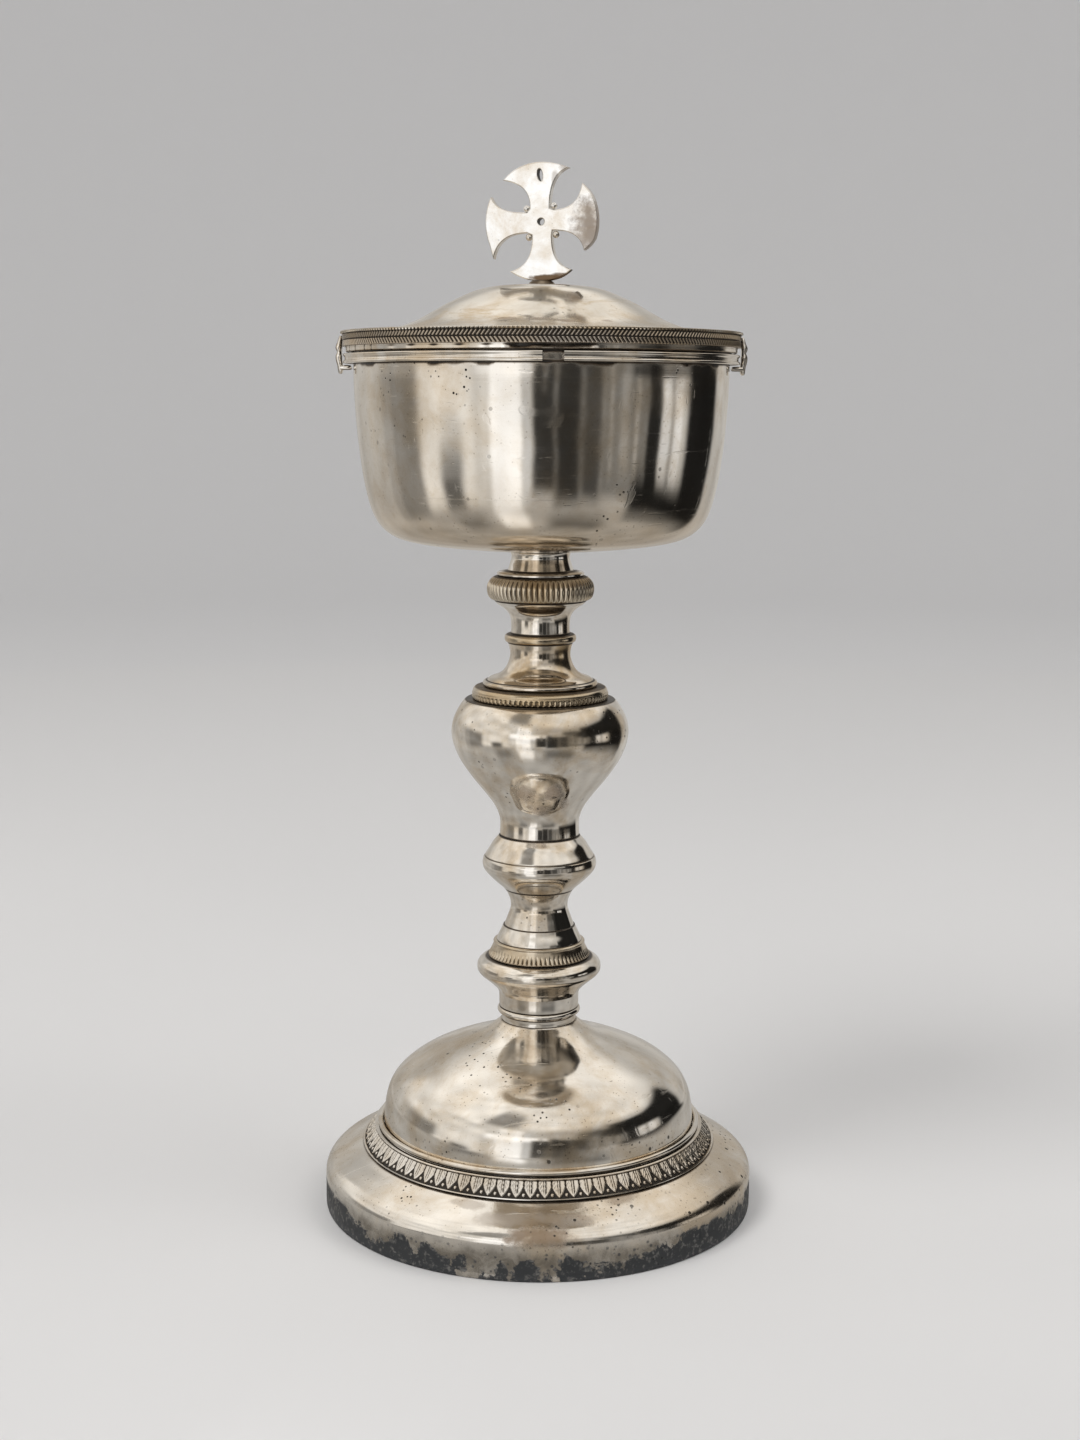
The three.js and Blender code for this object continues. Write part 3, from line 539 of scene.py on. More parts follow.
apron_top = [(54.99, 7), (55, 7.45)] + bend(APRON_BEND, 6)
apron_top += straight((52, 12.33), (45.2, 15.85), step=0.5)
apron_top += [(44.6, 16.1), (44, 16.4), (40.8, 20.55), (38, 20.55)]
apron_under = [(38, 19.6), (40.2, 19.6), (43.2, 15.4), (52, 11.2), (53.2, 10.2), (53.95, 8.6), (54, 7)]
turned_piece("apron", "foot_apron", "root", POLISHED, edge_metal, apron_top + apron_under,
             FINE, apron_relief, 30)

# Leaf band: pointed leaves that hang from the top, a bead between each pair of tips
LEAVES = 80
LEAF_FOOT = (45.4, 16.45)
LEAF_TOP = (42.2, 20.55)
LEAF_LEAN = math.atan2(LEAF_FOOT[0] - LEAF_TOP[0], LEAF_TOP[1] - LEAF_FOOT[1])


def leaf_relief(theta, r, z):
    """Here v runs up the band from 0 to 1, and u across one leaf from -0.5 to 0.5."""
    v = np.clip((z - LEAF_FOOT[1]) / (LEAF_TOP[1] - LEAF_FOOT[1]), 0, 1)
    front = ramp(r + (z - LEAF_FOOT[1]) * math.tan(LEAF_LEAN), 44.6, 44.9)
    u = (theta * LEAVES / TAU) % 1 - 0.5
    face = ramp(v, 0.06, 0.1) * ramp(v, 0.97, 0.93)
    half = 0.5 * np.clip((v - 0.12) / 0.5, 0, 1) ** 0.72
    inside = ramp(half - np.abs(u), -0.02, 0.05)
    swell = np.sqrt(np.clip(1 - (np.abs(u) / np.maximum(half, 0.02)) ** 2, 0, 1))
    rib = near(u, 0, 0.035) * ramp(v, 0.15, 0.3)
    furrow = near(np.abs(u), 0.5, 0.045) * ramp(v, 0.45, 0.6)
    veins = near((np.abs(u) * 5 + v * 4.5) % 1, 0.5, 0.18) * inside * ramp(v, 0.35, 0.5)
    side = np.abs(u) - 0.5
    bead = np.sqrt(np.clip(1 - (side / 0.12) ** 2 - ((v - 0.27) / 0.1) ** 2, 0, 1))
    leaf = inside * (0.16 + 0.26 * swell) + 0.1 * rib * inside - 0.25 * furrow - 0.06 * veins
    leaf = leaf - 0.12 * inside * near(np.abs(u), 0.085, 0.03) * ramp(v, 0.2, 0.4)
    out = face * (np.maximum(leaf, 0.42 * bead) - 0.62) * front
    wire = (near(v, 0.04, 0.035) + near(v, 0.985, 0.03)) * front
    deep = face * (1 - np.maximum(inside * (0.9 - 0.75 * furrow - 0.25 * veins), bead)) * front
    deep = np.maximum(deep, near(v, 0.1, 0.025) * 0.6 * front)
    deep = np.maximum(deep, face * front * inside * 0.75 * near(np.abs(u), 0.085, 0.03) * ramp(v, 0.2, 0.4))
    deep = np.maximum(deep, near(v, 0.93, 0.03) * 0.8 * front)
    out = out + 0.12 * wire - 0.12
    return out * math.cos(LEAF_LEAN), out * math.sin(LEAF_LEAN), deep


leaf_line = straight(LEAF_FOOT, LEAF_TOP, step=0.13)
turned_piece("leaves", "leaf_band", "root", TARNISHED, chased,
             leaf_line + [(41.1, 20.55), (44.3, 16.45)], LEAVES * 22, leaf_relief, 60)


def wire_relief(theta, r, z):
    # The wire's lower half is darkened: painted shade.
    return waves(theta, 0, 0.03, 4, turns=(5, 9, 14, 23)), 0, ramp(z, 21.4, 20.9)


turned_piece("wire", "foot_wire", "root", TARNISHED, polished,
             ellipse(40.75, 21.3, 0.69, 0.69, 16), FINE, wire_relief)


def dome_relief(theta, r, z):
    skin = ramp(z, 22, 25) * ramp(z, 44, 41)
    dent = skin * waves(theta, 2.2 * z, 0.08, 5.2)
    # Darkened at its foot by the wire and round the neck: painted shade.
    foot = near(z, 20.6, 1.1) * ramp(r, 38.5, 39.2)
    neck = near(z, 47.6, 0.3) * ramp(r, 9, 9.5)
    return dent, 0.5 * dent, np.maximum(foot, 0.5 * neck)


DOME = [(39.9, 20.6), (39.85, 23), (39.55, 25.6), (39, 28.3), (38.2, 30.4), (37, 32.3), (35.2, 34.2),
        (32.8, 36.1), (29.6, 38), (25.6, 39.8), (21.4, 41.4), (17.6, 42.7), (14.6, 44), (12.4, 45.3),
        (10.9, 46.5), (9.95, 47.35), (9.75, 47.6)]
dome_under = moved_left(bend(DOME[:13], 2), WALL)
dome_outline = bend(DOME, 5) + [(8.6, 47.6), (8.6, 47), (10.2, 45.4)] + dome_under[::-1]
turned_piece("foot_dome_shell", "foot_dome", "root", POLISHED, satin, dome_outline,
             FINE, dome_relief, 30)


# Stem: turned pieces that stand on each other, with dirt and painted shade in their seams

BAND_TEETH = 66
KNOP_TEETH = 78
FLUTES = 60


def seams(*places):
    """Dirt and painted shade along level seams: pairs of a height and its width."""
    def relief(theta, r, z):
        return waves(theta, z, 0.02, 3.1), 0, sum(near(z, at, wide) for at, wide in places)
    return relief


def stem_piece(name, node, line, bore, relief, metal=polished, slot=POLISHED, sides=STEM, sharp=34):
    """A piece on the stem's axis from its outer line and the radius of its bore."""
    outline = list(line) + [(bore, line[-1][1]), (bore, line[0][1])]
    mesh = turned(name + "_fine", outline, sides, relief, sharp)
    piece(name, mesh, "root", slot, metal, node)


neck_line = bend([(9.5, 47.6), (9.45, 48.4), (9.5, 49.2)], 4)
neck_line += bend([(9.75, 49.35), (10.35, 49.7), (10.6, 50.3), (10.35, 50.95), (9.9, 51.2)], 4)
neck_line += bend([(10.1, 51.3), (10.15, 52.2), (10.15, 53.4), (10.2, 54.8)], 4)
stem_piece("neck", "foot_neck", neck_line, 8.3, seams((47.6, 0.16), (49.25, 0.2), (51.25, 0.2)))

knop_line = bend([(10.2, 54.8), (10.7, 55.9), (11.9, 57.2), (13.6, 58.7), (15.1, 59.95), (15.65, 60.7)], 5)
knop_line += bend([(15.75, 61), (15.8, 61.7), (15.7, 62.5), (15.3, 63.2), (14.4, 63.95), (13.3, 64.35)], 5)
stem_piece("ring_knop", "lower_ring_knop", knop_line, 8.9, seams((60.85, 0.12), (64.4, 0.25)))


def milling(theta, r, z):
    """Small cut teeth between two heights, with dirt between them."""
    low, high = 64.8, 67.8
    cut = ramp(z, low, low + 0.25) * ramp(z, high, high - 0.25) * notches(theta, BAND_TEETH, 1.3)
    lips = near(z, low, 0.2) + near(z, high, 0.2)
    outer = ramp(r, r.min() + 1.5, r.min() + 2.5)
    return -0.42 * cut * outer, 0, np.clip(cut * 0.8 + 0.6 * lips, 0, 1) * outer


band = bend([(12.6, 64.45), (12.92, 64.7), (12.75, 65.2), (12.2, 66.3), (11.8, 67.2), (11.55, 67.9)], 5)
band += bend([(11.62, 68.02), (11.68, 68.25), (11.5, 68.5), (11, 68.6)], 3)
stem_piece("milled_band", "lower_milled_band", band, 10.3, milling, milled, TARNISHED,
           BAND_TEETH * 10, 60)

bal_line = [(10.2, 66.35), (10.25, 68.4)]
bal_line += bend([(10.85, 68.55), (10.6, 69.3), (10.2, 70.2), (9.55, 71.5), (9.15, 72.45)], 4)
bal_line += bend([(8.85, 72.55), (8.35, 73.9), (7.65, 75.8), (7.25, 77.2), (7.4, 79), (8, 80.6),
                  (8.75, 81.95)], 5)
stem_piece("baluster", "lower_baluster", bal_line, 5.9, seams((68.6, 0.22), (72.5, 0.12), (82, 0.3)))

small_line = bend([(8.9, 82.05), (9.6, 82.75), (11.15, 84.1), (13.1, 86), (14.15, 87.4), (14.45, 88.7),
                   (14.3, 89.9)], 5)
small_line += [(14.1, 90.35), (13.85, 90.5), (13.8, 90.75)]
small_line += bend([(13.7, 90.95), (12.9, 92.2), (11.8, 94), (10.7, 95.3), (10.15, 95.95)], 5)
stem_piece("knop_small", "small_knop", small_line, 7.6, seams((82, 0.35), (90.6, 0.18), (96, 0.35)))

pear = bend([(10.1, 96.05), (10, 98), (10.05, 100), (10.6, 102), (11.6, 104), (13.05, 106), (14.65, 108),
             (16.3, 110), (17.8, 112), (19.2, 114), (20.4, 116), (21.3, 118), (21.95, 120), (22.3, 122.4),
             (22.05, 124.8), (21.3, 127), (20.2, 129), (19.3, 130.2), (18.7, 130.75)], 5)
pear_under = moved_left(bend([(10.05, 98), (10.05, 100), (11.6, 104), (14.65, 108), (17.8, 112), (20.4, 116),
                              (21.95, 120), (22.2, 122.4), (21.3, 127), (19.6, 129.9)], 3), WALL)
pear_outline = pear + [(18.4, 130.8), (12.1, 130.8), (12.1, 129.8)] + pear_under[::-1] + [(9.1, 96.05)]
turned_piece("knop_pear", "main_knop", "root", POLISHED, knop_metal, pear_outline,
             FINE, seams((96, 0.4), (130.8, 0.3)), 34)


def knop_ring_relief(theta, r, z):
    field = ramp(z, 130.95, 131.2) * ramp(z, 132.5, 132.1) * ramp(r, 16, 16.8)
    cut = field * notches(theta, KNOP_TEETH, 1.2)
    # Lips: dirt and painted shade at the seams with the pear and the cap, and at the step above the teeth.
    lips = near(z, 130.85, 0.25) + near(z, 134, 0.3) + 0.5 * near(z, 132.75, 0.12)
    return -0.32 * cut, 0, cut * 0.6 + lips


ring_top = straight((16.6, 130.85), (17, 131.05), (17.1, 131.5), (17.1, 132.5), step=0.2)
ring_top += bend([(16.95, 132.75), (16.85, 133.2), (16.45, 133.75), (15.7, 134)], 5)
stem_piece("knop_ring", "knop_milled_ring", ring_top, 12.1, knop_ring_relief, milled, TARNISHED,
           KNOP_TEETH * 8, 60)

cap_line = bend([(14, 134.05), (14.35, 134.4), (14.4, 134.9), (14.2, 135.3), (13.6, 135.5)], 4)
cap_line += bend([(13.35, 135.6), (12.6, 136.2), (10.6, 136.95), (9.3, 137.9), (8.4, 139.2), (7.85, 140.6),
                  (7.6, 142), (7.75, 143.6), (8.15, 144.95)], 5)
stem_piece("cap", "knop_cap", cap_line, 6.3, seams((134.05, 0.35), (135.55, 0.12), (145, 0.25)), cap_metal)
upper_line = bend([(8.35, 145.05), (8.85, 145.45), (9, 146.1), (8.85, 146.75), (8.3, 147.15)], 5)
stem_piece("ring_upper", "upper_ring", upper_line, 6.3, seams((145, 0.3), (147.2, 0.3)), milled,
           TARNISHED)
spool_line = bend([(7.45, 147.25), (7.35, 148.6), (7.4, 150.2), (7.6, 151.4), (8, 152.3), (8.7, 153.15),
                   (9.9, 154.1), (10.9, 154.75), (11.5, 155.4)], 5)
stem_piece("spool", "upper_spool", spool_line, 6.1, seams((147.3, 0.35), (155.6, 0.3)))


def flute_relief(theta, r, z):
    field = ramp(z, 155.75, 156.5) * ramp(z, 161.6, 160.7) * ramp(r, 8.5, 11)
    cut = field * notches(theta, FLUTES, 1.1, math.pi / 2)
    # Lips: dirt and painted shade at the seams with the spool and the socket.
    lips = near(z, 155.7, 0.25) + near(z, 161.6, 0.3)
    return -0.42 * cut, 0, cut * 0.75 + lips


collar_line = bend([(11.75, 155.65), (12.6, 156.05), (13.15, 156.9), (13.4, 158.2), (13.3, 159.4),
                    (12.75, 160.5), (11.9, 161.3), (11.1, 161.65)], 5)
stem_piece("collar", "fluted_collar", collar_line, 6.6, flute_relief, milled, TARNISHED,
           FLUTES * 16, 60)

socket_line = bend([(10.75, 161.75), (10.9, 162), (10.9, 162.4), (10.6, 162.68)], 3) + [(8.5, 162.95)]
socket_line += bend([(8.2, 163.15), (7.85, 164.2), (7.5, 165.3), (7.3, 166.3), (7.45, 167.2),
                     (7.9, 167.95)], 4)
stem_piece("socket", "bowl_socket", socket_line, 5.6, seams((161.75, 0.25), (163, 0.2), (168, 0.35)))


# Bowl, and the strap ring in two halves with a gap between them at the front and at the back

RING_GAP = 4.9
RING_TURN = math.radians(-86.9)
RING_RADIUS = 48.5


def bowl_relief(theta, r, z):
    """Dents, and painted shade: under the cup round the socket, along the ring's edges and in patches below
    it, and in each of the ring's gaps as of a worn hole.
    """
    skin = ramp(r, 10, 30)
    dent = skin * waves(theta, 1.3 * z, 0.06, 7.7, turns=(3, 5, 9, 16))
    under = near(r, 8.2, 0.8) * ramp(z, 168.8, 168.2)
    patch = 0.5 + 0.3 * np.sin(9 * theta + 0.6) + 0.25 * np.sin(23 * theta) + 0.2 * np.sin(41 * theta + 2)
    ring = near(z, 215.9, 0.4) + near(z, 213.35, 0.28) + ramp(patch, 0.45, 0.95) * near(z, 212.9, 0.55) * 0.8
    gap = np.abs((theta - RING_TURN + math.pi / 2) % math.pi - math.pi / 2) * 46
    hole = 0.8 * near(z, 215.6, 0.5) + 0.5 * near(gap, 2.1, 0.35) * near(z, 214.9, 1)
    ring = (ring + ramp(gap, 2.9, 2.2) * hole) * ramp(r, 45.4, 45.9)
    return dent - 0.05 * skin, 0, 0.9 * under + ring


BOWL = [(8, 168), (15, 168.35), (21.5, 168.9), (27, 169.5), (31.5, 170.15), (35.2, 171.1),
        (37.7, 172.4), (39.6, 174.1), (41, 176.2), (42, 178.6), (42.8, 181.3), (43.65, 185.2),
        (44.4, 190), (45, 195), (45.45, 200), (45.8, 205), (46, 210)]
bowl_line = [(0, 168), (4, 168)] + bend(BOWL, 5) + straight((46, 211), (46, 219.1), step=0.8)
bowl_line += [(45.85, 219.4), (45.55, 219.5), (45.2, 219.35)]
bowl_inner = moved_left(bend(BOWL, 2), WALL)
bowl_outline = bowl_line + bowl_inner[::-1][:-1] + [(4, 169), (0, 169)]
turned_piece("cup", "bowl", "root", "bowl_silver", bowl_metal, bowl_outline, FINE, bowl_relief, 34)


def strap_relief(theta, r, z):
    # Dark in the middle groove; darkened on the back against the cup and by the lugs as painted shade.
    groove = near(z, 214.62, 0.5) * ramp(r, 47.6, 48.1)
    back = ramp(r, 46.6, 46.2)
    by_lug = 0.75 * near(np.sin(theta), 0, 0.05) * ramp(r, 47, 48)
    sway = waves(theta, 0, 0.04, 2.6, turns=(2, 4, 7, 11))
    return waves(theta, z, 0.03, 6.1) - 0.03, sway, 0.35 * groove + back + by_lug


strap_line = bend([(48.15, 213.42), (48.4, 213.52), (48.5, 213.8), (48.4, 214.05)], 3)
strap_line += bend([(48.15, 214.2), (48.08, 214.6), (48.15, 215)], 3)
strap_line += bend([(48.4, 215.2), (48.47, 215.45), (48.35, 215.7), (48.05, 215.78)], 3)
strap_line += [(46.18, 215.78), (46.18, 213.42)]
half_gap = RING_GAP / 2 / RING_RADIUS
for side, word in enumerate(("right", "left")):
    arc = (RING_TURN + side * math.pi + half_gap, RING_TURN + (side + 1) * math.pi - half_gap)
    turned_piece("strap_" + word, "catch_ring_" + word, "root", POLISHED, polished, strap_line, 240,
                 strap_relief, 40, arc)


# Lid

TEETH = 300
LID_DENTS = [(-8.3, -30.8), (-0.7, -32.2), (6.2, -32.8)]
BAND_CRACKS = (-168, -163.5, -157, -150, -146)


def lid_relief(theta, r, z):
    skin = ramp(r, 40, 36) * ramp(r, 4, 10)
    dent = skin * waves(theta, 1.5 * r, 0.07, 9.1)
    brim = ramp(r, 38.8, 40.5) * waves(theta, 0, 0.09, 3.7, turns=(2, 3, 7, 12))
    cut = ramp(r, 48.55, 48.8) * notches(theta, TEETH, 0.7) * ramp(z, 221.08, 220.85)
    marks = sum(near(r * np.cos(theta), x, 2.4) * near(r * np.sin(theta), y, 1.3) for x, y in LID_DENTS)
    top = ramp(z, 220.75, 221)
    # Dark in the teeth, at the dents and round the dome's foot, and round the cross's seat as painted shade.
    deep = cut + (0.12 * marks + 0.25 * near(r, 38.6, 0.7) + near(r, 2.5, 2.2)) * top
    return -0.42 * cut, (dent - 0.2 * marks * skin) * top + brim * 0.5 - 0.05, deep


lid_top = straight((48.75, 220.52), (49.05, 220.62), (49.1, 220.85), (49, 221.1), (48.7, 221.22), step=0.13)
lid_top += straight((48.4, 221.24), (39.2, 221.3), step=1.5)
lid_top += bend([(38.6, 221.33), (37.2, 221.6), (35.4, 222.15), (33, 222.95), (30.3, 224.05), (27, 225.85),
                 (23.2, 228), (19, 230), (15.8, 231.25), (12.4, 232.05), (8.5, 232.4), (5, 232.5),
                 (2, 232.5)], 3)
lid_under = [(1.8, 231.7), (5, 231.7), (8.4, 231.6), (12.2, 231.25), (15.4, 230.45), (18.6, 229.25),
             (22.8, 227.25), (26.6, 225.1), (30, 223.3), (33, 222.1), (36, 221.2), (38.4, 220.52)]
turned_piece("lid_shell", "lid_dome", "lid", POLISHED, lid_metal, lid_top + lid_under,
             TEETH * 4, lid_relief, 40)


def lid_band_relief(theta, r, z):
    """Fine upright cracks at the left, a worn joint at the front, and painted shade along the lower edge,
    under the border and by the lugs.
    """
    out = ramp(r, 47.2, 47.7)
    crack = sum(near(apart(theta, angle), 0, 0.0035) for angle in BAND_CRACKS)
    joint = ramp(np.abs(apart(theta, 272.5)), math.radians(13.5), math.radians(10))
    joint = joint * near(z, 217.0 + 0.12 * np.sin(31 * theta), 0.48)
    worn = near((theta * 7.3) % 1, 0.5, 0.16) * near(z, 217, 0.3) * ramp(np.sin(theta * 3 + 1), -0.2, 0.6)
    lip = near(z, 216.1, 0.25) + near(z, 217.25, 0.2) + 1.2 * joint + 0.8 * worn
    by_lug = 0.7 * near(np.sin(theta), 0, 0.06)
    sunk = 0.18 * crack + 0.4 * joint + 0.15 * worn
    return -sunk * out, waves(theta, 0, 0.03, 5.5), out * (crack + 0.8 * lip + by_lug)


rim_line = straight((47.6, 216.15), (47.8, 216.35), (47.8, 220.45), step=0.35)
turned_piece("lid_rim", "lid_band", "lid", POLISHED, polished,
             rim_line + [(46.5, 220.45), (46.5, 216.15)], BAND_SIDES, lid_band_relief)


def herring_relief(theta, r, z):
    """Two rows of slanting teeth that meet in a groove."""
    low, middle, high = 217.55, 219, 220.4
    out = ramp(r, 48.2, 48.5)
    lower = ramp(z, low, low + 0.12) * ramp(z, middle, middle - 0.12)
    upper = ramp(z, middle, middle + 0.12) * ramp(z, high, high - 0.12)
    slant = np.where(z < middle, z - low, 2 * middle - low - z) * 2.3
    cut = (lower + upper) * notches(theta, TEETH, 0.75, slant) + near(z, middle, 0.12)
    # Dark in the teeth and the groove, and painted shade along the lower edge and under the brim.
    shade = cut + 0.6 * near(z, 217.42, 0.15) + near(z, 220.5, 0.2)
    return -0.4 * np.clip(cut, 0, 1) * out, 0, np.clip(shade, 0, 1) * out


border_line = straight((48.4, 217.42), (48.62, 217.5), (48.65, 217.6), (48.65, 220.45), step=0.13)
turned_piece("border", "lid_milled_border", "lid", TARNISHED, border_metal,
             border_line + [(47.96, 220.45), (47.96, 217.42)], TEETH * 8, herring_relief, 60)


# Lugs: bent straps with a tab that reaches in under the ring

LUG_WIDTH = 4.2
TAB_WIDTH = 4.1
LUG_SHARP = 50
ROUNDING = 0.55


def squared(value):
    """A sine or cosine pushed outwards, so that a circle becomes a rounded rectangle."""
    return math.copysign(abs(value) ** ROUNDING, value)


def strip(name, path, width):
    """A bent strap: path of radius, height, thickness and share of the width."""
    p = np.array(bend(path, 5))
    t = np.gradient(p[:, :2], axis=0)
    t /= np.linalg.norm(t, axis=1)[:, None]
    side = np.stack([t[:, 1], -t[:, 0]], 1)
    section = [(squared(math.cos(a)), squared(math.sin(a))) for a in np.arange(20) * TAU / 20]
    verts, marks = [], []
    for (r, z, thick, share), s in zip(p, side):
        for y, x in section:
            out = x * thick / 2
            verts.append((r + s[0] * out, y * width / 2 * share, z + s[1] * out))
            # Darkened on the hook's outer face and under the tab, and a little along their sides: painted
            # shade.
            marks.append(0.75 * (1 - ramp(x, -0.95, -0.2)) + 0.1 * abs(y) ** 6)
    m = len(section)
    faces = [[i * m + j, i * m + (j + 1) % m, (i + 1) * m + (j + 1) % m, (i + 1) * m + j]
             for i in range(len(p) - 1) for j in range(m)]
    faces.append(list(range(m))[::-1])
    faces.append([(len(p) - 1) * m + j for j in range(m)])
    return finish_mesh(name, verts, faces, marks, LUG_SHARP)


hook = [(48.95, 220.1, 0.8, 0.8), (49.1, 219.5, 1, 0.9), (49.35, 218.5, 1.15, 0.97), (49.6, 217.3, 1.55, 1),
        (49.45, 216.25, 1.1, 0.97), (49.6, 215.2, 1.55, 1), (49.55, 214.2, 1.5, 0.98),
        (49.35, 213.2, 1.35, 0.95), (49.25, 212.1, 1.25, 0.85), (49.3, 211.4, 1.05, 0.7),
        (49.4, 210.98, 0.6, 0.5)]
tab = [(49.2, 212.5, 1.2, 0.95), (48.4, 212.5, 1.2, 0.97), (47.5, 212.5, 1.2, 0.97), (46.9, 212.5, 1.1, 0.95),
       (46.6, 212.5, 0.9, 0.9)]
for side, word in enumerate(("right", "left")):
    strap = strip("lug_" + word + "_fine", hook, LUG_WIDTH)
    foot = strip("lug_tab_" + word + "_fine", tab, TAB_WIDTH)
    turn = Matrix.Rotation(side * math.pi, 4, "Z")
    strap.transform(turn)
    foot.transform(turn)
    piece("hook_" + word, strap, "lid", TARNISHED, polished, "lug_" + word)
    piece("hook_tab_" + word, foot, "lid", TARNISHED, polished)


# Cross

CROSS_CENTRE = 247.5
CROSS_TURN = -16
CROSS_RADIUS = 14.1
CROSS_WAIST = 4.9
CROSS_THICK = 2.4
CROSS_EDGE = 0.28
CROSS_SHARP = 8
HOLE_RADIUS = 0.8
SLOT_PLACE = (-0.3, 11)
SLOT_SIZE = (0.6, 1.45)
SLOT_TURN = 0.15
CROSS_STAND = (Matrix.Translation((0, 0, CROSS_CENTRE * MM))
               @ Matrix.Rotation(math.radians(CROSS_TURN), 4, "Z"))

# Both tips of each arm and the middle of its waist, seen square on from the front, hand cut and so uneven
ARMS = [((10.75, -6.9), (10.2, 8.9), (2.9, 0.35)), ((6.9, 12.6), (-9.7, 9.9), (-0.35, 3.1)),
        ((-12.7, 6.1), (-12.1, -8.7), (-3.5, -0.2)), ((-7.9, -11.7), (7.6, -11.4), (0.25, -3.2))]


def flank(middle, tip, turn, way):
    """The hollow side of an arm, from its waist out to its tip."""
    along = np.array([math.cos(turn), math.sin(turn)])
    across = np.array([-math.sin(turn), math.cos(turn)]) * way
    tip = np.array(tip)
    waist = middle + across * CROSS_WAIST / 2
    rise = np.dot(tip - waist, along)
    spread = abs(np.dot(tip - waist, across))
    p = [waist, waist + along * rise * 0.62, tip - across * spread * 0.66 - along * 0.1 * rise, tip]
    return [sum(math.comb(3, k) * (1 - t) ** (3 - k) * t**k * p[k] for k in range(4))
            for t in np.linspace(0, 1, 16)]


def arm_end(first, second):
    """The round end of an arm between its tips."""
    start, end = math.atan2(first[1], first[0]), math.atan2(second[1], second[0])
    end += TAU if end < start else 0
    line = []
    for t in np.linspace(0, 1, 20)[1:-1]:
        a = start + (end - start) * t
        r = math.hypot(*first) + (math.hypot(*second) - math.hypot(*first)) * t
        r += (CROSS_RADIUS - r) * min(1, 6 * t * (1 - t))
        line.append((r * math.cos(a), r * math.sin(a)))
    return line


def cross_outline():
    """Four arms with hooked tips between round notches, counterclockwise."""
    line = []
    for arm, (first, second, middle) in enumerate(ARMS):
        turn = arm * math.pi / 2
        line += flank(middle, first, turn, -1) + arm_end(first, second)
        line += flank(middle, second, turn, 1)[::-1]
    return [tuple(q) for q in line]


def plate(name, loops, thick, edge):
    """A flat plate with rounded edges, from closed loops: the outline and its holes."""
    curve = bpy.data.curves.new(name, "CURVE")
    curve.dimensions = "2D"
    curve.fill_mode = "BOTH"
    curve.extrude = (thick / 2 - edge) * MM
    curve.bevel_depth = edge * MM
    curve.bevel_resolution = 3
    curve.offset = -edge * MM
    for loop in loops:
        spline = curve.splines.new("POLY")
        spline.use_cyclic_u = True
        spline.points.add(len(loop) - 1)
        for dot, (x, y) in zip(spline.points, loop):
            dot.co = (x * MM, y * MM, 0, 1)
    holder = put_in_scene(name + "_curve", curve)
    bpy.context.view_layer.update()
    mesh = bpy.data.meshes.new_from_object(holder.evaluated_get(bpy.context.evaluated_depsgraph_get()))
    bpy.data.objects.remove(holder)
    mesh.name = name
    return mesh


slot_x, slot_y = np.array(ellipse(0, 0, *SLOT_SIZE, 28)).T
slot_line = list(zip(slot_x * math.cos(SLOT_TURN) - slot_y * math.sin(SLOT_TURN) + SLOT_PLACE[0],
                     slot_x * math.sin(SLOT_TURN) + slot_y * math.cos(SLOT_TURN) + SLOT_PLACE[1]))
cross_mesh = plate("cross_fine", [cross_outline(), ellipse(0, 0, HOLE_RADIUS, HOLE_RADIUS, 28), slot_line],
                   CROSS_THICK, CROSS_EDGE)
cross_mesh.transform(Matrix.Rotation(math.pi / 2, 4, "X"))
layer = cross_mesh.attributes.new("recess_and_shade", "FLOAT", "POINT")
for i, vert in enumerate(cross_mesh.vertices):
    x, y, z = vert.co / MM
    wall = ramp(CROSS_THICK / 2 - abs(y), 0.12, 0.3)
    holes = near(math.hypot(x, z), HOLE_RADIUS, 0.5)
    holes += near(math.hypot((x - SLOT_PLACE[0]) * 2.2, z - SLOT_PLACE[1]), 1.3, 0.7)
    # The plate's edges are darkened a little all round, and more in the hole, in the slot and low on the
    # lower arm: painted shade.
    layer.data[i].value = min(1, wall * holes + wall * (0.12 + 0.7 * ramp(-z, 10.4, 11.2)))
cross_mesh.transform(CROSS_STAND)
clean(cross_mesh, CROSS_SHARP)
piece("cross_plate", cross_mesh, "lid", "cross_silver", cross_metal, "cross")

BEAD_PLACE = 3.4
BEAD_RADIUS = 0.85
BEAD_LEAN = -5


def bead_relief(theta, r, z):
    # Darkened on the half towards the plate: painted shade.
    return 0, 0, 0.6 * ramp(z, 0.1, -0.6)


ball = [(0, -BEAD_RADIUS)] + [(BEAD_RADIUS * math.cos(a), BEAD_RADIUS * math.sin(a))
                              for a in np.linspace(-1.4, 1.4, 12)] + [(0, BEAD_RADIUS)]
for corner, (x, z) in {"upper_right": (1, 1), "upper_left": (-1, 1), "lower_left": (-1, -1),
                       "lower_right": (1, -1)}.items():
    bead = turned("cross_bead_" + corner + "_fine", ball, 24, bead_relief)
    bead.transform(Matrix.Translation((x * BEAD_PLACE * MM, -CROSS_THICK / 4 * MM, z * BEAD_PLACE * MM))
                   @ Matrix.Rotation(math.pi / 2, 4, "X"))
    bead.transform(CROSS_STAND @ Matrix.Rotation(math.radians(BEAD_LEAN), 4, "Y"))
    piece("bead_" + corner, bead, "lid", TARNISHED, cross_metal, "cross_bead_" + corner)


def seat_relief(theta, r, z):
    # Dark all round under the cross: painted shade.
    return 0, 0, 0.75 + 0.15 * np.sin(5 * theta)


seat_line = bend([(3.15, 232.52), (3.2, 232.75), (2.95, 233.15), (2.4, 233.5), (1.95, 233.62)], 3)
turned_piece("seat", "cross_seat", "lid", TARNISHED, milled,
             seat_line + [(1.8, 233.62), (1.8, 232.52)], 64, seat_relief)

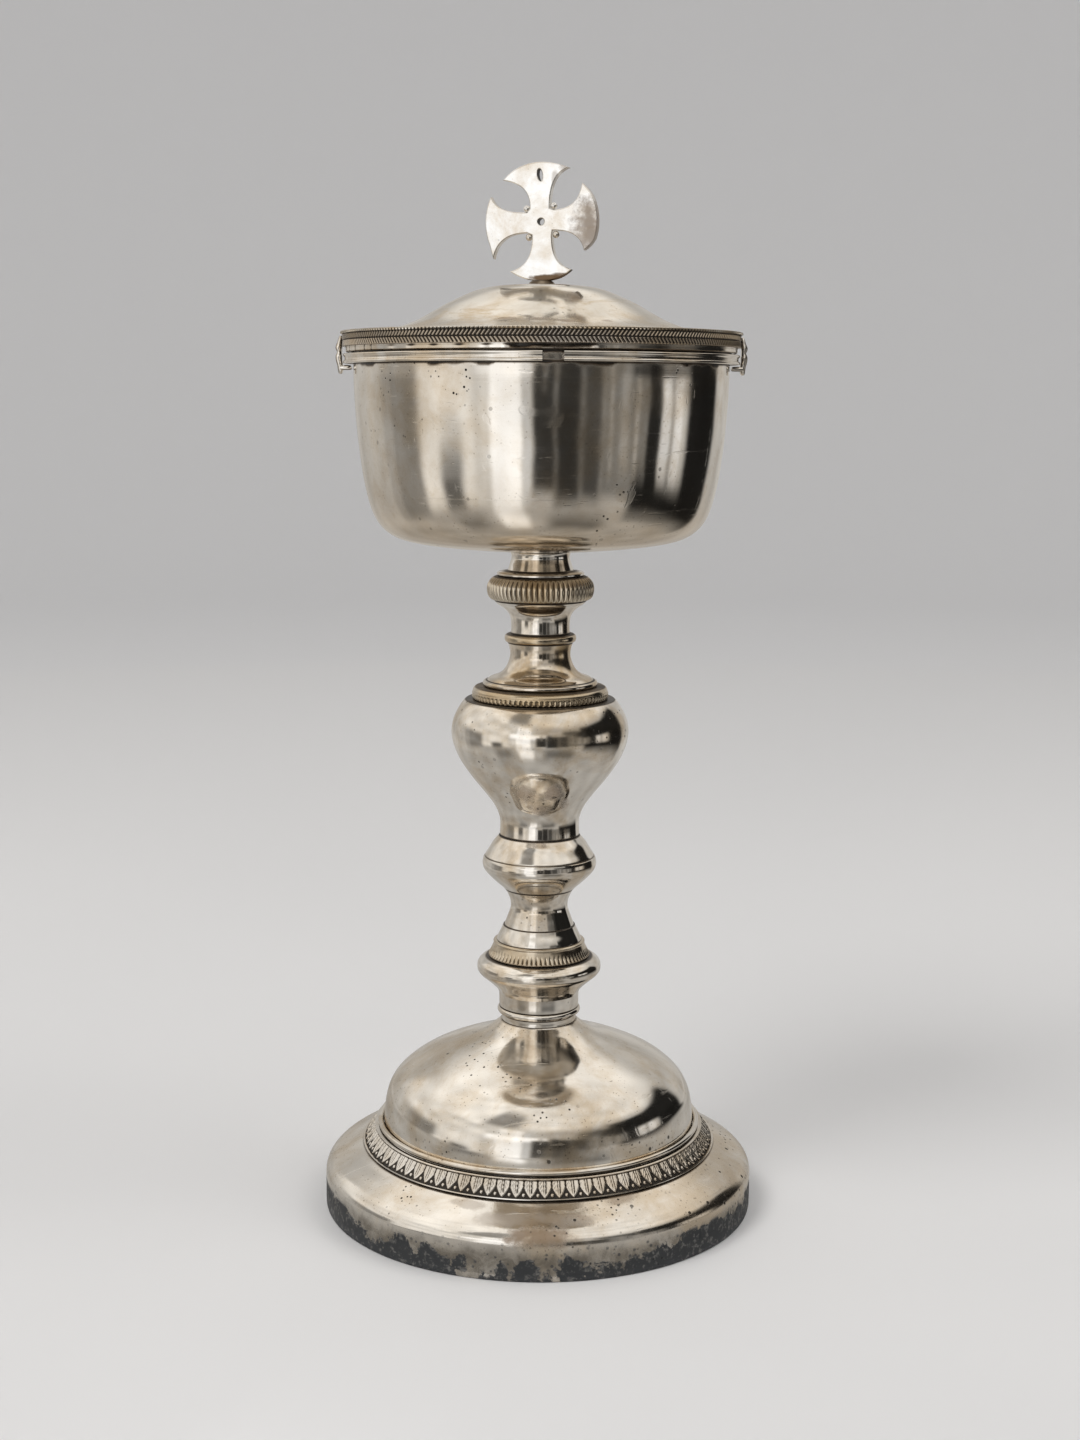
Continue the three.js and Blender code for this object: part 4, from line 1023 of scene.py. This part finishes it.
# Fixings inside the foot and the lid keep their own shape
FIXINGS = {"tie_rod": steel, "tie_washer": steel, "tie_nut": steel, "bowl_boss": steel,
           "finial_screw": steel, "finial_washer": brass, "finial_nut": brass}
for node, metal in FIXINGS.items():
    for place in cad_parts[node].material_slots:
        place.material = metal


# Studio: a pale round sweep, a ring of light and dark cards that only metal mirrors, soft lamps

PAPER = (0.78, 0.78, 0.79, 1)
PAPER_ROUGH = 0.6
SWEEP_SIDES = 96
SWEEP_REACH = 1600
SWEEP_CURVE = 900
SWEEP_TOP = 2600
FLOOR_HEIGHT = -0.02


def spun(name, line, angles):
    """A stage object: an open skin through the line's points, spun right round."""
    r, z = np.array(line).T
    spin = np.asarray(angles)[:, None]
    verts = np.stack([r * np.cos(spin), r * np.sin(spin), z + 0 * spin], -1).reshape(-1, 3)
    mesh = bpy.data.meshes.new(name)
    mesh.from_pydata((verts * MM).tolist(), [], net(len(angles), len(line), True, False))
    mesh.shade_smooth()
    return put_in_scene(name, mesh)


sweep_line = [(0, FLOOR_HEIGHT), (600, FLOOR_HEIGHT), (SWEEP_REACH, FLOOR_HEIGHT)]
sweep_line += [(SWEEP_REACH + SWEEP_CURVE * math.sin(a), SWEEP_CURVE * (1 - math.cos(a)))
               for a in np.linspace(0.1, math.pi / 2, 16)]
sweep_line += [(SWEEP_REACH + SWEEP_CURVE, SWEEP_TOP)]
sweep = spun("studio_sweep", sweep_line, np.arange(SWEEP_SIDES) * TAU / SWEEP_SIDES)
paper = bpy.data.materials.new("studio_paper")
paper.use_nodes = True
paper_shader = paper.node_tree.nodes["Principled BSDF"]
paper_shader.inputs["Base Color"].default_value = PAPER
paper_shader.inputs["Roughness"].default_value = PAPER_ROUGH
sweep.data.materials.append(paper)

# Each card: from and to in degrees round from the camera's side, lowest and highest in degrees
# above level, its brightness, how neutral its light is, and how soft its edges are
CARDS = [
    (-112, -103, -22, 26, 0.36, 0, 3), (-103, -79, -22, 24, 0.26, 0, 3), (-78, -33, -18, 30, 0.84, 0, 4),
    (-41, -34, -14, 24, 0.66, 0, 3), (-31, -11, -28, 34, 1.11, 1, 2.5), (-11, -6, -20, 28, 0.62, 1, 2),
    (-40, 8, 7, 15, 1.2, 1, 3),
    (-5, 8, -16, 8, 0.04, 0, 2), (8, 24, -20, 13, 0.035, 0, 3), (24, 37, -18, 14, 0.07, 0, 3),
    (15, 34, 12, 15, 0.5, 0, 2), (1, 3, 2, 15, 0.2, 0, 1.5),
    (37, 66, -16, 16, 0.20, 0, 2), (41, 43, -12, 10, 0.36, 0, 1), (48, 54, -10, 10, 0.36, 0, 2),
    (58, 60, -12, 10, 0.46, 0, 1.5), (66, 77, -15, 22, 0.02, 0, 2), (77, 94, -12, 4, 0.76, 1, 2),
    (84, 87, -12, 4, 0.38, 0, 1.5), (99, 131, -30, 26, 0.012, 0, 3), (-64, -49, -22, -10, 0.14, 0, 3.5),
    (58, 102, -28, -12.5, 0.012, 0, 3), (56, 128, 5, 27, 0.015, 0, 2), (46, 62, 8, 20, 0.04, 0, 3),
    (30, 50, 15, 22, 0.12, 0, 3),
    (-52, -16, 42, 66, 0.30, 0, 6), (-140, -60, 10, 36, 0.82, 0, 4),
]
# The fields that lie on the floor near the foot, which the lower stem mirrors
FLOOR_CARDS = [(-62, -38, -41, -28, 0.24, 0, 7), (6, 46, -41, -28, 0.17, 0, 7),
               (-28, -8, -42, -28, 1.08, 1, 3.5)]
WALL_LIGHT = 0.50
FLOOR_LIGHT = 0.51
NEAR_FLOOR_LIGHT = 0.42
CEILING_LIGHT = 0.96
WARM = np.array((1, 0.96, 0.90))
NEUTRAL = np.array((1, 0.99, 0.98))
CARD_RADIUS = 1100
CARD_EYE = 130
CARD_INNER = 56
CARD_FLOOR = 1.0
CARD_SIDES = 720


def wall_height(degrees):
    """The height on the surround's wall at an angle above level."""
    return CARD_EYE + CARD_RADIUS * math.tan(math.radians(degrees))


def lay(fields, glow, plainness):
    """The brightness and neutrality of the surround with the cards laid on it in turn."""
    for left, right, low, high, light, neutral, soft in fields:
        cover = ramp(A, left - soft, left + soft) * ramp(A, right + soft, right - soft)
        cover = cover * ramp(E, low - 2 * soft, low + soft) * ramp(E, high + 2 * soft, high - soft)
        glow = glow + (light - glow) * cover
        plainness = plainness + (neutral - plainness) * cover
    return glow, plainness


# The surround's floor, wall and ceiling, and each point's angle round and above level
card_line = [(r, CARD_FLOOR) for r in np.linspace(CARD_INNER, CARD_RADIUS, 60)]
card_line += [(CARD_RADIUS, wall_height(e)) for e in np.linspace(-6.6, 40, 66)]
card_line += [(r, wall_height(40)) for r in np.linspace(CARD_RADIUS, 5, 24)[1:]]
reach, rise = np.array(card_line).T
around = np.arange(CARD_SIDES) * 360 / CARD_SIDES - 180
A, E = np.meshgrid(around, np.degrees(np.arctan2(rise - CARD_EYE, reach)), indexing="ij")
glow = WALL_LIGHT + (FLOOR_LIGHT - WALL_LIGHT) * ramp(E, -6, -18)
glow = glow + (CEILING_LIGHT - glow) * ramp(E, 26, 42)
glow, plainness = lay(CARDS, glow, np.zeros_like(glow))
glow = glow + (NEAR_FLOOR_LIGHT - glow) * ramp(reach, 420, 110) * (E < -7)
glow, plainness = lay(FLOOR_CARDS, glow, plainness)
a = np.radians(A)
cloudy = np.sin(5 * a + 0.31 * E) + 0.7 * np.sin(11 * a - 0.2 * E + 1)
cloudy = cloudy + 0.5 * np.sin(23 * a + 2) * near(E, 5, 25)
glow = glow * (1 + 0.07 * cloudy) * (1 - 0.10 * np.sin(a + 0.5) * ramp(E, 20, 60))
tint = WARM + (NEUTRAL - WARM) * plainness[..., None]
shades = np.concatenate([glow[..., None] * tint, np.ones_like(glow)[..., None]], -1)

cards = spun("studio_cards", card_line, np.radians(around - 90))
layer = cards.data.attributes.new("glow", "FLOAT_COLOR", "POINT")
layer.data.foreach_set("color", shades.ravel().astype(np.float32))
t = Tree("studio_cards")
painted = t.add("ShaderNodeAttribute", attribute_name="glow").outputs["Color"]
cards.data.materials.append(t.shown(t.add("ShaderNodeEmission", Color=painted)))
cards.visible_camera = False
cards.visible_diffuse = False
cards.visible_shadow = False
cards.visible_transmission = False

WORLD_COLOUR = (0.80, 0.79, 0.77, 1)
WORLD_STRENGTH = 0.8
LAMP_COLOUR = (1, 0.98, 0.95)
LAMP_AIM = Vector((0, 0, 0.12))

world = bpy.data.worlds.new("studio_world")
scene.world = world
world.use_nodes = True
background = world.node_tree.nodes["Background"]
background.inputs["Color"].default_value = WORLD_COLOUR
background.inputs["Strength"].default_value = WORLD_STRENGTH


def lamp(name, place, size, power):
    light = bpy.data.lights.new(name, "AREA")
    light.shape = "DISK"
    light.size = size
    light.energy = power
    light.color = LAMP_COLOUR
    obj = put_in_scene(name, light)
    obj.location = place
    obj.rotation_euler = (LAMP_AIM - Vector(place)).to_track_quat("-Z", "Y").to_euler()
    obj.visible_camera = False
    obj.visible_glossy = False


lamp("lamp_key", (-0.7, -0.6, 1.3), 0.7, 9)
lamp("lamp_fill", (0.9, -0.2, 1.2), 0.9, 4)
